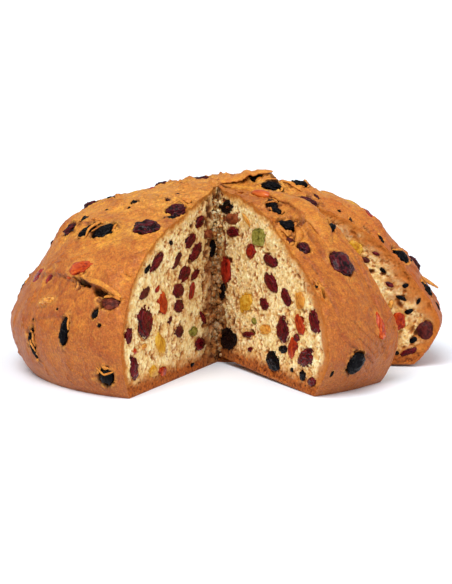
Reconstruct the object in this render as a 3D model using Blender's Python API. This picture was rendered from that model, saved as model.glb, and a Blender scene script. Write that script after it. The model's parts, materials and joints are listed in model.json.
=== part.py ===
"""Pandolce: a round, domed Genoese sweet bread full of dried fruit.

A wedge has been cut out of its front and the slice to the right of that notch
stands a little apart from the loaf. Metres, +Z up, the front faces -Y and the
loaf stands on z = 0. The cuts all run through one upright line, AXIS.
"""

import bmesh
import bpy
import numpy as np
from math import cos, radians, sin
from mathutils import Matrix, Vector

MM = 0.001

# ---------------------------------------------------------------- sizes (mm)
AXIS = (-5.45, -0.85)      # upright line that all the knife cuts run through
CREST_HEIGHT = 93.5       # height of the crust on that line
CREST_TILT = 0.20         # rise of the crust towards the back, on that line
NOTCH_LEFT = -24.0        # knife cuts, degrees from the front, + to the right
NOTCH_RIGHT = 28.0
SLICE_RIGHT = 57.0
LOAF_RIGHT = 82.0
SLICE_TIP = 1.2           # the slice's tip is blunt and stands clear of the loaf
SLICE_TIP_LIFT = 4.0      # its underside curls up towards the tip
RIM_LIFT = 1.6            # the loaf's rim lifts off the board beside LOAF_RIGHT
GAP = 0.3                 # clearance round each fruit
SEGMENTS, RINGS, UNDERSIDE_RINGS = 78, 20, 3

# Upright sections of the crust through AXIS. For each azimuth, a radius and a
# height at mid-slope, shoulder, side and bulge, and then the radius of the foot.
SECTIONS = (
    (-140, 42, 90.5, 74, 77.0, 94, 50, 103, 23, 93),
    (-95, 47, 87.0, 78, 75.0, 92, 53, 107, 24, 97.5),
    (-60, 45, 84.5, 80, 71.0, 97, 53, 110, 22, 100),
    (-24, 45, 81.5, 84, 68.5, 103, 51, 112.5, 21, 103.5),
    (28, 49, 85.0, 78, 69.0, 103, 52, 115.5, 20, 101.5),
    (57, 49, 87.5, 76, 73.5, 97, 48, 108, 21, 98.5),
    (82, 50, 84.5, 83, 67.5, 102, 48, 117, 21, 104),
    (102, 50, 89.5, 84, 75.5, 107, 49, 118.5, 23, 107),
    (140, 45, 92.0, 81, 76.5, 103, 48, 112, 23, 101),
    (180, 42, 94.0, 76, 78.5, 97, 50, 104, 23, 94.5),
)
# Where those heights lie down the section: 0 on the axis, 1 at the foot.
LEVELS = (0.0, 0.28, 0.51, 0.675, 0.865, 1.0)

# Lumps (+) and hollows (-) of the crust: azimuth, level, height, reach along
# the azimuth and down the section.
LUMPS = (
    (115, 0.16, 4.5, 8, 6),      # torn flap on the crown
    (108, 0.27, 3.0, 6, 6),      # blister behind it
    (-72, 0.47, 2.0, 12, 8),     # shoulder on the left
    (-50, 0.45, -1.2, 10, 8),
    (-35, 0.38, 1.0, 12, 9),
    (-45, 0.60, 1.2, 16, 7),     # fold that runs over the candied peel
    (-50, 0.68, -1.2, 18, 5),
    (-29, 0.70, -1.8, 9, 5),     # hollow with the brown raisin
    (-58, 0.22, 1.5, 14, 6),     # ridges towards the crown
    (-75, 0.30, 1.6, 10, 6),
    (-100, 0.38, 1.5, 14, 8),
    (-125, 0.55, -1.5, 18, 12),
    (-150, 0.35, 1.8, 14, 9),
    (175, 0.55, 1.6, 18, 12),
    (150, 0.70, -1.6, 16, 12),
    (130, 0.45, 1.5, 14, 10),
    (45, 0.40, 1.6, 9, 20),      # band of dough down the slice
    (34, 0.44, -1.4, 6, 8),
    (40, 0.72, 1.2, 12, 10),
    (50, 0.86, -1.0, 9, 6),
    (92, 0.66, 1.4, 9, 7),
    (98, 0.50, 1.2, 9, 7),
)

# Fruit on the crust: azimuth, level, half length, half width, half thickness
# and turn of the length from level, then how far its middle lies in the crust.
CRUST_FRUIT = {
    "raisin_large": ("loaf", -33.5, 0.385, 7.2, 6.2, 4.2, 0, 0.9, "raisin"),
    "raisin_shoulder": ("loaf", -73, 0.50, 4.6, 3.6, 3.0, 90, 0.8, "raisin"),
    "raisin_split_upper": ("loaf", -60.0, 0.464, 7.2, 2.6, 2.6, 80, 0.8, "raisin_burnt"),
    "raisin_split_lower": ("loaf", -53.8, 0.438, 7.2, 4.2, 3.2, 80, 0.8, "raisin_burnt"),
    "peel_left": ("loaf", -45.5, 0.615, 7.4, 4.6, 2.2, 25, 0.9, "candied_orange"),
    "raisin_hollow": ("loaf", -29.8, 0.705, 6.0, 3.6, 3.2, 10, 0.8, "raisin_brown"),
    "raisin_low_left": ("loaf", -42.5, 0.805, 7.4, 2.9, 2.8, 90, 1.0, "raisin_burnt"),
    "raisin_foot_left": ("loaf", -56.5, 0.875, 7.4, 2.9, 2.8, 105, 1.0, "raisin_burnt"),
    "raisin_corner": ("loaf", -29.2, 0.925, 5.2, 4.4, 3.0, 60, 0.8, "raisin_burnt"),
    "raisin_notch_top": ("loaf", -33.6, 0.232, 5.4, 4.4, 3.4, 40, 0.6, "raisin"),
    "raisin_ridge": ("loaf", -160, 0.16, 5.4, 3.2, 2.6, 10, 0.6, "raisin"),
    "raisin_crown": ("loaf", 97, 0.155, 5.6, 3.4, 2.6, 84, 0.6, "raisin_burnt"),
    "raisin_flap": ("loaf", 129, 0.155, 5.0, 3.2, 2.6, 50, 0.6, "raisin_burnt"),
    "raisin_blister": ("loaf", 107, 0.252, 5.0, 3.4, 2.6, 70, 0.6, "raisin_burnt"),
    "raisin_pair": ("loaf", 87.2, 0.612, 6.6, 4.8, 3.4, 20, 0.8, "raisin_burnt"),
    "raisin_edge_right": ("loaf", 97, 0.665, 5.6, 3.4, 3.2, 55, 0.2, "raisin"),
    "raisin_low_right": ("loaf", 87.2, 0.735, 5.6, 3.6, 2.8, 70, 0.8, "raisin_burnt"),
    "cherry_right": ("loaf", 98.5, 0.485, 5.0, 2.4, 2.0, 20, 0.6, "candied_red"),
    "slice_raisin_large": ("slice", 43.8, 0.595, 7.4, 6.8, 3.8, 85, 0.6, "raisin"),
    "slice_raisin_round": ("slice", 36.9, 0.885, 5.8, 5.8, 3.0, 0, 1.2, "raisin_burnt"),
    "slice_peel": ("slice", 48.8, 0.79, 6.6, 3.2, 2.2, 85, 0.9, "candied_orange"),
    "slice_raisin_pocket": ("slice", 34.4, 0.384, 5.2, 3.5, 2.8, -30, 1.0, "raisin_burnt"),
    "slice_raisin_red": ("slice", 33.8, 0.512, 4.8, 3.4, 2.8, 60, 0.6, "raisin"),
    "slice_nut": ("slice", 49.0, 0.168, 6.2, 2.6, 2.2, 97, 0.5, "nut"),
}

# Fruit cut through by the knife: cut, distance from AXIS, height, half length,
# half width and turn of the length from level.
CUT_FRUIT = {
    "cut_l_raisin_large": ("loaf", NOTCH_LEFT, 86.5, 34.5, 8.6, 7.6, 60, "raisin"),
    "cut_l_orange": ("loaf", NOTCH_LEFT, 65.5, 41.5, 6.6, 4.8, 70, "candied_orange"),
    "cut_l_raisin_upper": ("loaf", NOTCH_LEFT, 72.5, 63.0, 8.0, 3.1, -23, "raisin"),
    "cut_l_raisin_long": ("loaf", NOTCH_LEFT, 26.5, 62.5, 7.4, 3.7, -21, "raisin"),
    "cut_l_raisin_dark": ("loaf", NOTCH_LEFT, 40, 52.5, 6.6, 3.6, -13, "raisin"),
    "cut_l_raisin_middle": ("loaf", NOTCH_LEFT, 47.5, 45, 6.0, 3.8, 9, "raisin"),
    "cut_l_raisin_small": ("loaf", NOTCH_LEFT, 47, 37.2, 5.6, 3.2, 11, "raisin"),
    "cut_l_yellow": ("loaf", NOTCH_LEFT, 69, 20.7, 6.6, 4.5, 50, "candied_yellow"),
    "cut_l_raisin_foot": ("loaf", NOTCH_LEFT, 98.5, 14.0, 5.8, 4.2, 80, "raisin"),
    "cut_l_raisin_inner": ("loaf", NOTCH_LEFT, 21.7, 13.4, 5.8, 3.4, 13, "raisin"),
    "cut_r_yellow": ("slice", NOTCH_RIGHT, 31.6, 36.6, 7.2, 4.7, 24, "candied_yellow"),
    "cut_r_raisin_large": ("slice", NOTCH_RIGHT, 70.5, 28.2, 7.0, 5.6, 80, "raisin"),
    "cut_r_raisin_red": ("slice", NOTCH_RIGHT, 101.4, 37.2, 6.4, 4.6, -60, "raisin"),
    "cut_r_raisin_long": ("slice", NOTCH_RIGHT, 57.6, 50.6, 6.8, 4.0, -30, "raisin"),
    "cut_r_raisin_upper": ("slice", NOTCH_RIGHT, 57.6, 61.4, 6.6, 3.2, -8, "raisin"),
    "cut_r_green": ("slice", NOTCH_RIGHT, 44.2, 72.0, 7.4, 4.6, 14, "candied_green"),
    "cut_r_raisin_foot": ("slice", NOTCH_RIGHT, 93.5, 17.8, 8.4, 4.0, 24, "raisin"),
    "cut_r_raisin_low": ("slice", NOTCH_RIGHT, 60.5, 10.6, 6.4, 5.2, -12, "raisin_burnt"),
    "cut_r_raisin_side": ("slice", NOTCH_RIGHT, 73.4, 45.5, 5.0, 3.6, -40, "raisin"),
    "cut_r_orange": ("slice", NOTCH_RIGHT, 86.8, 33.4, 5.8, 3.8, -60, "candied_orange"),
    "cut_r_orange_low": ("slice", NOTCH_RIGHT, 80.2, 20.6, 5.6, 4.0, 60, "candied_orange"),
    "cut_c_yellow": ("loaf", LOAF_RIGHT, 72, 62.3, 4.6, 3.8, -30, "candied_yellow"),
    "cut_c_orange": ("loaf", LOAF_RIGHT, 95.7, 24.3, 5.0, 3.2, 90, "candied_orange"),
    "cut_c_date": ("loaf", LOAF_RIGHT, 109.6, 20, 4.8, 4.2, 90, "raisin_brown"),
}

COLOURS = {  # base colour and roughness
    "crust": ((0.56, 0.25, 0.075), 0.55),
    "crust_slice": ((0.53, 0.23, 0.070), 0.55),
    "raisin": ((0.070, 0.012, 0.010), 0.30),
    "raisin_burnt": ((0.010, 0.008, 0.012), 0.35),
    "raisin_brown": ((0.150, 0.045, 0.022), 0.40),
    "candied_orange": ((0.62, 0.16, 0.025), 0.25),
    "candied_yellow": ((0.70, 0.45, 0.060), 0.25),
    "candied_red": ((0.34, 0.030, 0.012), 0.25),
    "candied_green": ((0.32, 0.33, 0.045), 0.25),
    "nut": ((0.50, 0.11, 0.020), 0.20),
}


# ------------------------------------------------------------ crust's shape
def hermite(t, t0, t1, p0, p1, m0, m1):
    h = t1 - t0
    s = (t - t0) / h
    return (
        (2 * s**3 - 3 * s**2 + 1) * p0
        + (s**3 - 2 * s**2 + s) * h * m0
        + (3 * s**2 - 2 * s**3) * p1
        + (s**3 - s**2) * h * m1
    )


def slopes(t, p):
    """Slopes of a smooth curve through the points p at the places t."""
    m = np.zeros_like(p)
    for i in range(1, len(t) - 1):
        before = (p[i] - p[i - 1]) / (t[i] - t[i - 1])
        after = (p[i + 1] - p[i]) / (t[i + 1] - t[i])
        w0, w1 = t[i + 1] - t[i], t[i] - t[i - 1]
        m[i] = (before * w0 + after * w1) / (w0 + w1)
    return m


TABLE = np.array(SECTIONS, float)
TURNS = np.concatenate([TABLE[-2:, 0] - 360, TABLE[:, 0], TABLE[:2, 0] + 360])
ROWS = np.concatenate([TABLE[-2:, 1:], TABLE[:, 1:], TABLE[:2, 1:]])
ROW_SLOPES = slopes(TURNS, ROWS)


def section(azimuth):
    """The section's sizes at any azimuth, in degrees."""
    a = (azimuth - TABLE[0, 0]) % 360 + TABLE[0, 0]
    i = min(max(int(np.searchsorted(TURNS, a, side="right")) - 1, 1), len(TURNS) - 3)
    return hermite(
        a, TURNS[i], TURNS[i + 1], ROWS[i], ROWS[i + 1], ROW_SLOPES[i], ROW_SLOPES[i + 1]
    )


def smooth_crust(azimuth, level):
    """Point of the crust without its lumps, in mm."""
    s = section(azimuth)
    p = np.array([(0, CREST_HEIGHT), *[(s[2 * k], s[2 * k + 1]) for k in range(4)], (s[8], 0)], float)
    m = slopes(LEVELS, p)
    start = p[1, 0] / LEVELS[1]
    m[0] = (start, -CREST_TILT * cos(radians(azimuth)) * start)
    m[5] = (-110, -110)
    i = min(max(int(np.searchsorted(LEVELS, level, side="right")) - 1, 0), 4)
    r, z = hermite(level, LEVELS[i], LEVELS[i + 1], p[i], p[i + 1], m[i], m[i + 1])
    a = radians(azimuth)
    return np.array([AXIS[0] + r * sin(a), AXIS[1] - r * cos(a), max(z, 0.0)])


def crust_frame(azimuth, level):
    """Point, then the directions along the azimuth, up the section and out."""
    p = smooth_crust(azimuth, level)
    along = smooth_crust(azimuth + 0.4, level) - smooth_crust(azimuth - 0.4, level)
    along /= np.linalg.norm(along)
    up = smooth_crust(azimuth, level - 0.006) - smooth_crust(azimuth, level + 0.006)
    up -= along * (along @ up)
    up /= np.linalg.norm(up)
    return p, along, up, np.cross(along, up)


def turn_between(a, b):
    return (a - b + 180) % 360 - 180


def crust(azimuth, level):
    """Point of the crust with its lumps and the lift of its rim, in mm."""
    p = smooth_crust(azimuth, level)
    if 0 < level < 1:
        _, _, _, out = crust_frame(azimuth, level)
        reach = np.hypot(p[0] - AXIS[0], p[1] - AXIS[1])
        for at, where, height, along, down in LUMPS:
            du = radians(turn_between(azimuth, at)) * reach / along
            dv = (level - where) * 160.0 / down
            fade = min(1.0, (1 - level) / 0.12)
            p = p + out * height * fade * np.exp(-du * du - dv * dv)
        p[2] = max(p[2], 0.0)
    return p


def rim_lift(azimuth, level):
    """How far the underside stands off the board near the right-hand cut."""
    near = np.exp(-((turn_between(azimuth, LOAF_RIGHT + 4) / 14.0) ** 2))
    return RIM_LIFT * near * min(1.0, max(0.0, (level - 0.80) / 0.2))


# ------------------------------------------------------------------- scene
def clear_scene():
    for obj in list(bpy.data.objects):
        bpy.data.objects.remove(obj, do_unlink=True)


def material(name):
    colour, roughness = COLOURS[name]
    made = bpy.data.materials.get(name)
    if made is None:
        made = bpy.data.materials.new(name)
        made.use_nodes = True
        shader = made.node_tree.nodes["Principled BSDF"]
        shader.inputs["Base Color"].default_value = (*colour, 1)
        shader.inputs["Roughness"].default_value = roughness
        shader.inputs["Metallic"].default_value = 0.0
    return made


def collection(name):
    made = bpy.data.collections.new(name)
    bpy.context.scene.collection.children.link(made)
    return made


def add_object(name, bm, where, finish=None, cutter=False):
    mesh = bpy.data.meshes.new(name)
    bm.normal_update()
    bm.to_mesh(mesh)
    bm.free()
    obj = bpy.data.objects.new(name, mesh)
    where.objects.link(obj)
    if finish:
        mesh.materials.append(material(finish))
    if cutter:
        obj.hide_render = True
        obj.display_type = "WIRE"
    return obj


def boolean(obj, other, operation):
    mod = obj.modifiers.new(f"{operation.lower()} {other.name}", "BOOLEAN")
    mod.operation = operation
    mod.solver = "EXACT"
    mod.object = other


def dome(tip_lift):
    """The whole bread, from a sphere whose rings become the crust's levels and,
    below the foot, the flat underside. tip_lift raises the underside's middle."""
    bm = bmesh.new()
    bmesh.ops.create_uvsphere(
        bm, u_segments=SEGMENTS, v_segments=RINGS + UNDERSIDE_RINGS, radius=1.0
    )
    rings = RINGS + UNDERSIDE_RINGS
    for v in bm.verts:
        x, y, z = v.co
        ring = round(float(np.arccos(max(-1.0, min(1.0, z)))) / np.pi * rings)
        azimuth = float(np.degrees(np.arctan2(x, -y)))
        if ring <= RINGS:
            level = ring / RINGS
            p = crust(azimuth, level)
            share = 1.0
        else:
            level = 1.0
            share = 1 - (ring - RINGS) / UNDERSIDE_RINGS
            foot = smooth_crust(azimuth, 1.0)
            p = np.array(
                [AXIS[0] + (foot[0] - AXIS[0]) * share, AXIS[1] + (foot[1] - AXIS[1]) * share, 0.0]
            )
        if tip_lift and ring > RINGS:
            p[2] = tip_lift * (1 - share) ** 1.2
        elif not tip_lift and level > 0.8:
            p[2] += rim_lift(azimuth, level) * (share if ring > RINGS else 1.0) ** 2
        v.co = Vector(p * MM)
    return bm


def wedge(name, left, right, start, where):
    """Upright wedge between two cuts, from start mm off AXIS outwards."""
    far = 260.0
    corners = [(left, start), (left, far), ((left + right) / 2, far * 1.5), (right, far), (right, start)]
    if start <= 0:
        corners = corners[:-1]
        corners[0] = (left, 0.0)
    bm = bmesh.new()
    ring = []
    for azimuth, r in corners:
        a = radians(azimuth)
        ring.append(bm.verts.new(((AXIS[0] + r * sin(a)) * MM, (AXIS[1] - r * cos(a)) * MM, -0.02)))
    face = bm.faces.new(ring)
    grown = bmesh.ops.extrude_face_region(bm, geom=[face])
    for item in grown["geom"]:
        if isinstance(item, bmesh.types.BMVert):
            item.co.z = 0.15
    bmesh.ops.recalc_face_normals(bm, faces=bm.faces)
    return add_object(name, bm, where, cutter=True)


def blob(half, frame, origin, grow=0.0, proud=None, uneven=0.0, seed=0):
    """An uneven egg with the given half sizes in mm, its own axes in frame. With
    proud, it is cut level that far above its middle, as the knife leaves it."""
    bm = bmesh.new()
    bmesh.ops.create_uvsphere(bm, u_segments=8, v_segments=5, radius=1.0)
    rng = np.random.default_rng(seed)
    phase = rng.uniform(0, 6.28, 3)
    for v in bm.verts:
        x, y, z = v.co
        a = np.arctan2(y, x)
        swell = 1 + uneven * (sin(2 * a + phase[0]) + 0.6 * sin(3 * a + phase[1]) + 0.5 * sin(3 * z + phase[2]))
        local = np.array([x * (half[0] * swell + grow), y * (half[1] * swell + grow), z * (half[2] + grow)])
        if proud is not None:
            local[2] = min(local[2], proud)
        v.co = Vector((origin + frame @ local) * MM)
    return bm


def turned(along, up, out, turn):
    c, s = cos(radians(turn)), sin(radians(turn))
    return np.stack([along * c + up * s, up * c - along * s, out], axis=1)


clear_scene()
parts = collection("pandolce")
cutters = collection("pandolce_cutters")

loaf = add_object("loaf", dome(0.0), parts, "crust")
boolean(loaf, wedge("cut_front", NOTCH_LEFT, LOAF_RIGHT, 0.0, cutters), "DIFFERENCE")
sliced = add_object("slice", dome(SLICE_TIP_LIFT), parts, "crust_slice")
boolean(sliced, wedge("keep_slice", NOTCH_RIGHT, SLICE_RIGHT, SLICE_TIP, cutters), "INTERSECT")
hosts = {"loaf": loaf, "slice": sliced}

for number, (name, row) in enumerate(CRUST_FRUIT.items()):
    host, azimuth, level, length, width, thick, turn, sunk, finish = row
    _, along, up, out = crust_frame(azimuth, level)
    centre = crust(azimuth, level) - out * sunk
    frame = turned(along, up, out, turn)
    half = (length, width, thick)
    add_object(name, blob(half, frame, centre, uneven=0.05, seed=number), parts, finish)
    pocket = add_object(
        "pocket_" + name, blob(half, frame, centre, GAP * 1.5, uneven=0.05, seed=number), cutters, cutter=True
    )
    boolean(hosts[host], pocket, "DIFFERENCE")

for number, (name, row) in enumerate(CUT_FRUIT.items()):
    host, cut, reach, height, length, width, turn, finish = row
    a = radians(cut)
    along = np.array([sin(a), -cos(a), 0.0])
    up = np.array([0.0, 0.0, 1.0])
    centre = np.array([*AXIS, 0.0]) + along * reach + up * height
    if cut == NOTCH_LEFT:  # this face looks the other way, so its length runs back
        along, turn = -along, -turn
    frame = turned(along, up, np.cross(along, up), turn)
    half = (length, width, min(width, 3.2))
    add_object(name, blob(half, frame, centre, proud=0.35, uneven=0.05, seed=50 + number), parts, finish)
    pocket = add_object(
        "pocket_" + name, blob(half, frame, centre, GAP * 1.5, uneven=0.05, seed=50 + number), cutters, cutter=True
    )
    boolean(hosts[host], pocket, "DIFFERENCE")

for obj in parts.objects:
    obj.data.shade_smooth()
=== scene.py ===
"""Looks of the pandolce: crust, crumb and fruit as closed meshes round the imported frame.

The crust repeats the shape of the CAD solids and adds folds, cracks, torn edges
and pockets. Each cut shows a slab of crumb with open pores. Fruit is one joined
mesh for each kind. Lengths are in mm until the meshes are made.
"""

import json
from math import cos, radians, sin

import bpy
import numpy as np
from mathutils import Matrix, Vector

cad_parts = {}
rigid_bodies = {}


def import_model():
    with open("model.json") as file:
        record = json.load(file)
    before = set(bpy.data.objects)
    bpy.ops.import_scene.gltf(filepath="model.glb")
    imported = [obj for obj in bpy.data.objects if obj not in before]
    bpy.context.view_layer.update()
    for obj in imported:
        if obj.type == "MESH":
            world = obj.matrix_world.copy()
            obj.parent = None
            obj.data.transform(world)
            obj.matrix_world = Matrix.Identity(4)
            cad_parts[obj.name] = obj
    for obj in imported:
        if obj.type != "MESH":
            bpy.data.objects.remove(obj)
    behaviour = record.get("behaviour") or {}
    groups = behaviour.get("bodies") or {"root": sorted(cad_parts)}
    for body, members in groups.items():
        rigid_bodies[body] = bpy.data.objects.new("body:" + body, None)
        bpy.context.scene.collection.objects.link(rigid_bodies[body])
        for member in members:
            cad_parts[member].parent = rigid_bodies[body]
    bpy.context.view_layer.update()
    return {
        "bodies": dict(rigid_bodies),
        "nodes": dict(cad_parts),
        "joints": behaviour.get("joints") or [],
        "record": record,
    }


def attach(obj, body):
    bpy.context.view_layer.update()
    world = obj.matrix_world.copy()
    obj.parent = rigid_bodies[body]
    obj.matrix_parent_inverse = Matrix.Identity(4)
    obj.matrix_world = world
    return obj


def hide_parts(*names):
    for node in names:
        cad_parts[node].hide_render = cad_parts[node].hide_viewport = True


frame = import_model()

MM = 0.001

# ------------------------------------------------------- the bread's own shape
AXIS = np.array([-5.45, -0.85])
CREST_HEIGHT = 93.5
CREST_TILT = 0.20
NOTCH_LEFT, NOTCH_RIGHT, SLICE_RIGHT, LOAF_RIGHT = -24.0, 28.0, 57.0, 82.0
SLICE_TIP = 1.2
SLICE_TIP_LIFT = 4.0
RIM_LIFT = 1.6
SECTIONS = np.array((
    (-140, 42, 90.5, 74, 77.0, 94, 50, 103, 23, 93),
    (-95, 47, 87.0, 78, 75.0, 92, 53, 107, 24, 97.5),
    (-60, 45, 84.5, 80, 71.0, 97, 53, 110, 22, 100),
    (-24, 45, 81.5, 84, 68.5, 103, 51, 112.5, 21, 103.5),
    (28, 49, 85.0, 78, 69.0, 103, 52, 115.5, 20, 101.5),
    (57, 49, 87.5, 76, 73.5, 97, 48, 108, 21, 98.5),
    (82, 50, 84.5, 83, 67.5, 102, 48, 117, 21, 104),
    (102, 50, 89.5, 84, 75.5, 107, 49, 118.5, 23, 107),
    (140, 45, 92.0, 81, 76.5, 103, 48, 112, 23, 101),
    (180, 42, 94.0, 76, 78.5, 97, 50, 104, 23, 94.5),
), float)
LEVELS = np.array((0.0, 0.28, 0.51, 0.675, 0.865, 1.0))
LUMPS = (
    (115, 0.16, 4.5, 8, 6), (108, 0.27, 3.0, 6, 6), (-72, 0.47, 2.0, 12, 8), (-50, 0.45, -1.2, 10, 8),
    (-35, 0.38, 1.0, 12, 9), (-45, 0.60, 1.2, 16, 7), (-50, 0.68, -1.2, 18, 5), (-29, 0.70, -1.8, 9, 5),
    (-58, 0.22, 1.5, 14, 6), (-75, 0.30, 1.6, 10, 6), (-100, 0.38, 1.5, 14, 8), (-125, 0.55, -1.5, 18, 12),
    (-150, 0.35, 1.8, 14, 9), (175, 0.55, 1.6, 18, 12), (150, 0.70, -1.6, 16, 12), (130, 0.45, 1.5, 14, 10),
    (45, 0.40, 1.6, 9, 20), (34, 0.44, -1.4, 6, 8), (40, 0.72, 1.2, 12, 10), (50, 0.86, -1.0, 9, 6),
    (92, 0.66, 1.4, 9, 7), (98, 0.50, 1.2, 9, 7),
)

# Fruit of the CAD model: name: host, azimuth, level, half sizes, turn, sunk, kind
CRUST_FRUIT = {
    "raisin_large": ("loaf", -33.5, 0.385, 7.2, 6.2, 4.2, 0, 0.9, "raisin"),
    "raisin_shoulder": ("loaf", -73, 0.50, 4.6, 3.6, 3.0, 90, 0.8, "raisin"),
    "raisin_split_upper": ("loaf", -60.0, 0.464, 7.2, 2.6, 2.6, 80, 0.8, "raisin_burnt"),
    "raisin_split_lower": ("loaf", -53.8, 0.438, 7.2, 4.2, 3.2, 80, 0.8, "raisin_burnt"),
    "peel_left": ("loaf", -45.5, 0.615, 7.4, 4.6, 2.2, 25, 0.9, "candied_orange"),
    "raisin_hollow": ("loaf", -29.8, 0.705, 6.0, 3.6, 3.2, 10, 0.8, "raisin_brown"),
    "raisin_low_left": ("loaf", -42.5, 0.805, 7.4, 2.9, 2.8, 90, 1.0, "raisin_burnt"),
    "raisin_foot_left": ("loaf", -56.5, 0.875, 7.4, 2.9, 2.8, 105, 1.0, "raisin_burnt"),
    "raisin_corner": ("loaf", -29.2, 0.925, 5.2, 4.4, 3.0, 60, 0.8, "raisin_burnt"),
    "raisin_notch_top": ("loaf", -33.6, 0.232, 5.4, 4.4, 3.4, 40, 0.6, "raisin"),
    "raisin_ridge": ("loaf", -160, 0.16, 5.4, 3.2, 2.6, 10, 0.6, "raisin"),
    "raisin_crown": ("loaf", 97, 0.155, 5.6, 3.4, 2.6, 84, 0.6, "raisin_burnt"),
    "raisin_flap": ("loaf", 129, 0.155, 5.0, 3.2, 2.6, 50, 0.6, "raisin_burnt"),
    "raisin_blister": ("loaf", 107, 0.252, 5.0, 3.4, 2.6, 70, 0.6, "raisin_burnt"),
    "raisin_pair": ("loaf", 87.2, 0.612, 6.6, 4.8, 3.4, 20, 0.8, "raisin_burnt"),
    "raisin_edge_right": ("loaf", 97, 0.665, 5.6, 3.4, 3.2, 55, 0.2, "raisin"),
    "raisin_low_right": ("loaf", 87.2, 0.735, 5.6, 3.6, 2.8, 70, 0.8, "raisin_burnt"),
    "cherry_right": ("loaf", 98.5, 0.485, 5.0, 2.4, 2.0, 20, 0.6, "candied_red"),
    "slice_raisin_large": ("slice", 43.8, 0.595, 7.4, 6.8, 3.8, 85, 0.6, "raisin"),
    "slice_raisin_round": ("slice", 36.9, 0.885, 5.8, 5.8, 3.0, 0, 1.2, "raisin_burnt"),
    "slice_peel": ("slice", 48.8, 0.79, 6.6, 3.2, 2.2, 85, 0.9, "candied_orange"),
    "slice_raisin_pocket": ("slice", 34.4, 0.384, 5.2, 3.5, 2.8, -30, 1.0, "raisin_burnt"),
    "slice_raisin_red": ("slice", 33.8, 0.512, 4.8, 3.4, 2.8, 60, 0.6, "raisin"),
    "slice_nut": ("slice", 49.0, 0.168, 6.2, 2.6, 2.2, 97, 0.5, "nut"),
}
# name: host, cut, reach from AXIS, height, half length, half width, turn, kind
CUT_FRUIT = {
    "cut_l_raisin_large": ("L", 86.5, 34.5, 8.6, 7.6, 60, "raisin"),
    "cut_l_orange": ("L", 65.5, 41.5, 6.6, 4.8, 70, "candied_orange"),
    "cut_l_raisin_upper": ("L", 72.5, 63.0, 8.0, 3.1, -23, "raisin"),
    "cut_l_raisin_long": ("L", 26.5, 62.5, 7.4, 3.7, -21, "raisin"),
    "cut_l_raisin_dark": ("L", 40, 52.5, 6.6, 3.6, -13, "raisin"),
    "cut_l_raisin_middle": ("L", 47.5, 45, 6.0, 3.8, 9, "raisin"),
    "cut_l_raisin_small": ("L", 47, 37.2, 5.6, 3.2, 11, "raisin"),
    "cut_l_yellow": ("L", 69, 20.7, 6.6, 4.5, 50, "candied_yellow"),
    "cut_l_raisin_foot": ("L", 98.5, 14.0, 5.8, 4.2, 80, "raisin"),
    "cut_l_raisin_inner": ("L", 21.7, 13.4, 5.8, 3.4, 13, "raisin"),
    "cut_r_yellow": ("R", 31.6, 36.6, 7.2, 4.7, 24, "candied_yellow"),
    "cut_r_raisin_large": ("R", 70.5, 28.2, 7.0, 5.6, 80, "raisin"),
    "cut_r_raisin_red": ("R", 101.4, 37.2, 6.4, 4.6, -60, "raisin"),
    "cut_r_raisin_long": ("R", 57.6, 50.6, 6.8, 4.0, -30, "raisin"),
    "cut_r_raisin_upper": ("R", 57.6, 61.4, 6.6, 3.2, -8, "raisin"),
    "cut_r_green": ("R", 44.2, 72.0, 7.4, 4.6, 14, "candied_green"),
    "cut_r_raisin_foot": ("R", 93.5, 17.8, 8.4, 4.0, 24, "raisin"),
    "cut_r_raisin_low": ("R", 60.5, 10.6, 6.4, 5.2, -12, "raisin_burnt"),
    "cut_r_raisin_side": ("R", 73.4, 45.5, 5.0, 3.6, -40, "raisin"),
    "cut_r_orange": ("R", 86.8, 33.4, 5.8, 3.8, -60, "candied_orange"),
    "cut_r_orange_low": ("R", 80.2, 20.6, 5.6, 4.0, 60, "candied_orange"),
    "cut_c_yellow": ("C", 72, 62.3, 4.6, 3.8, -30, "candied_yellow"),
    "cut_c_orange": ("C", 95.7, 24.3, 5.0, 3.2, 90, "candied_orange"),
    "cut_c_date": ("C", 109.6, 20, 4.8, 4.2, 90, "raisin_brown"),
}
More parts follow.
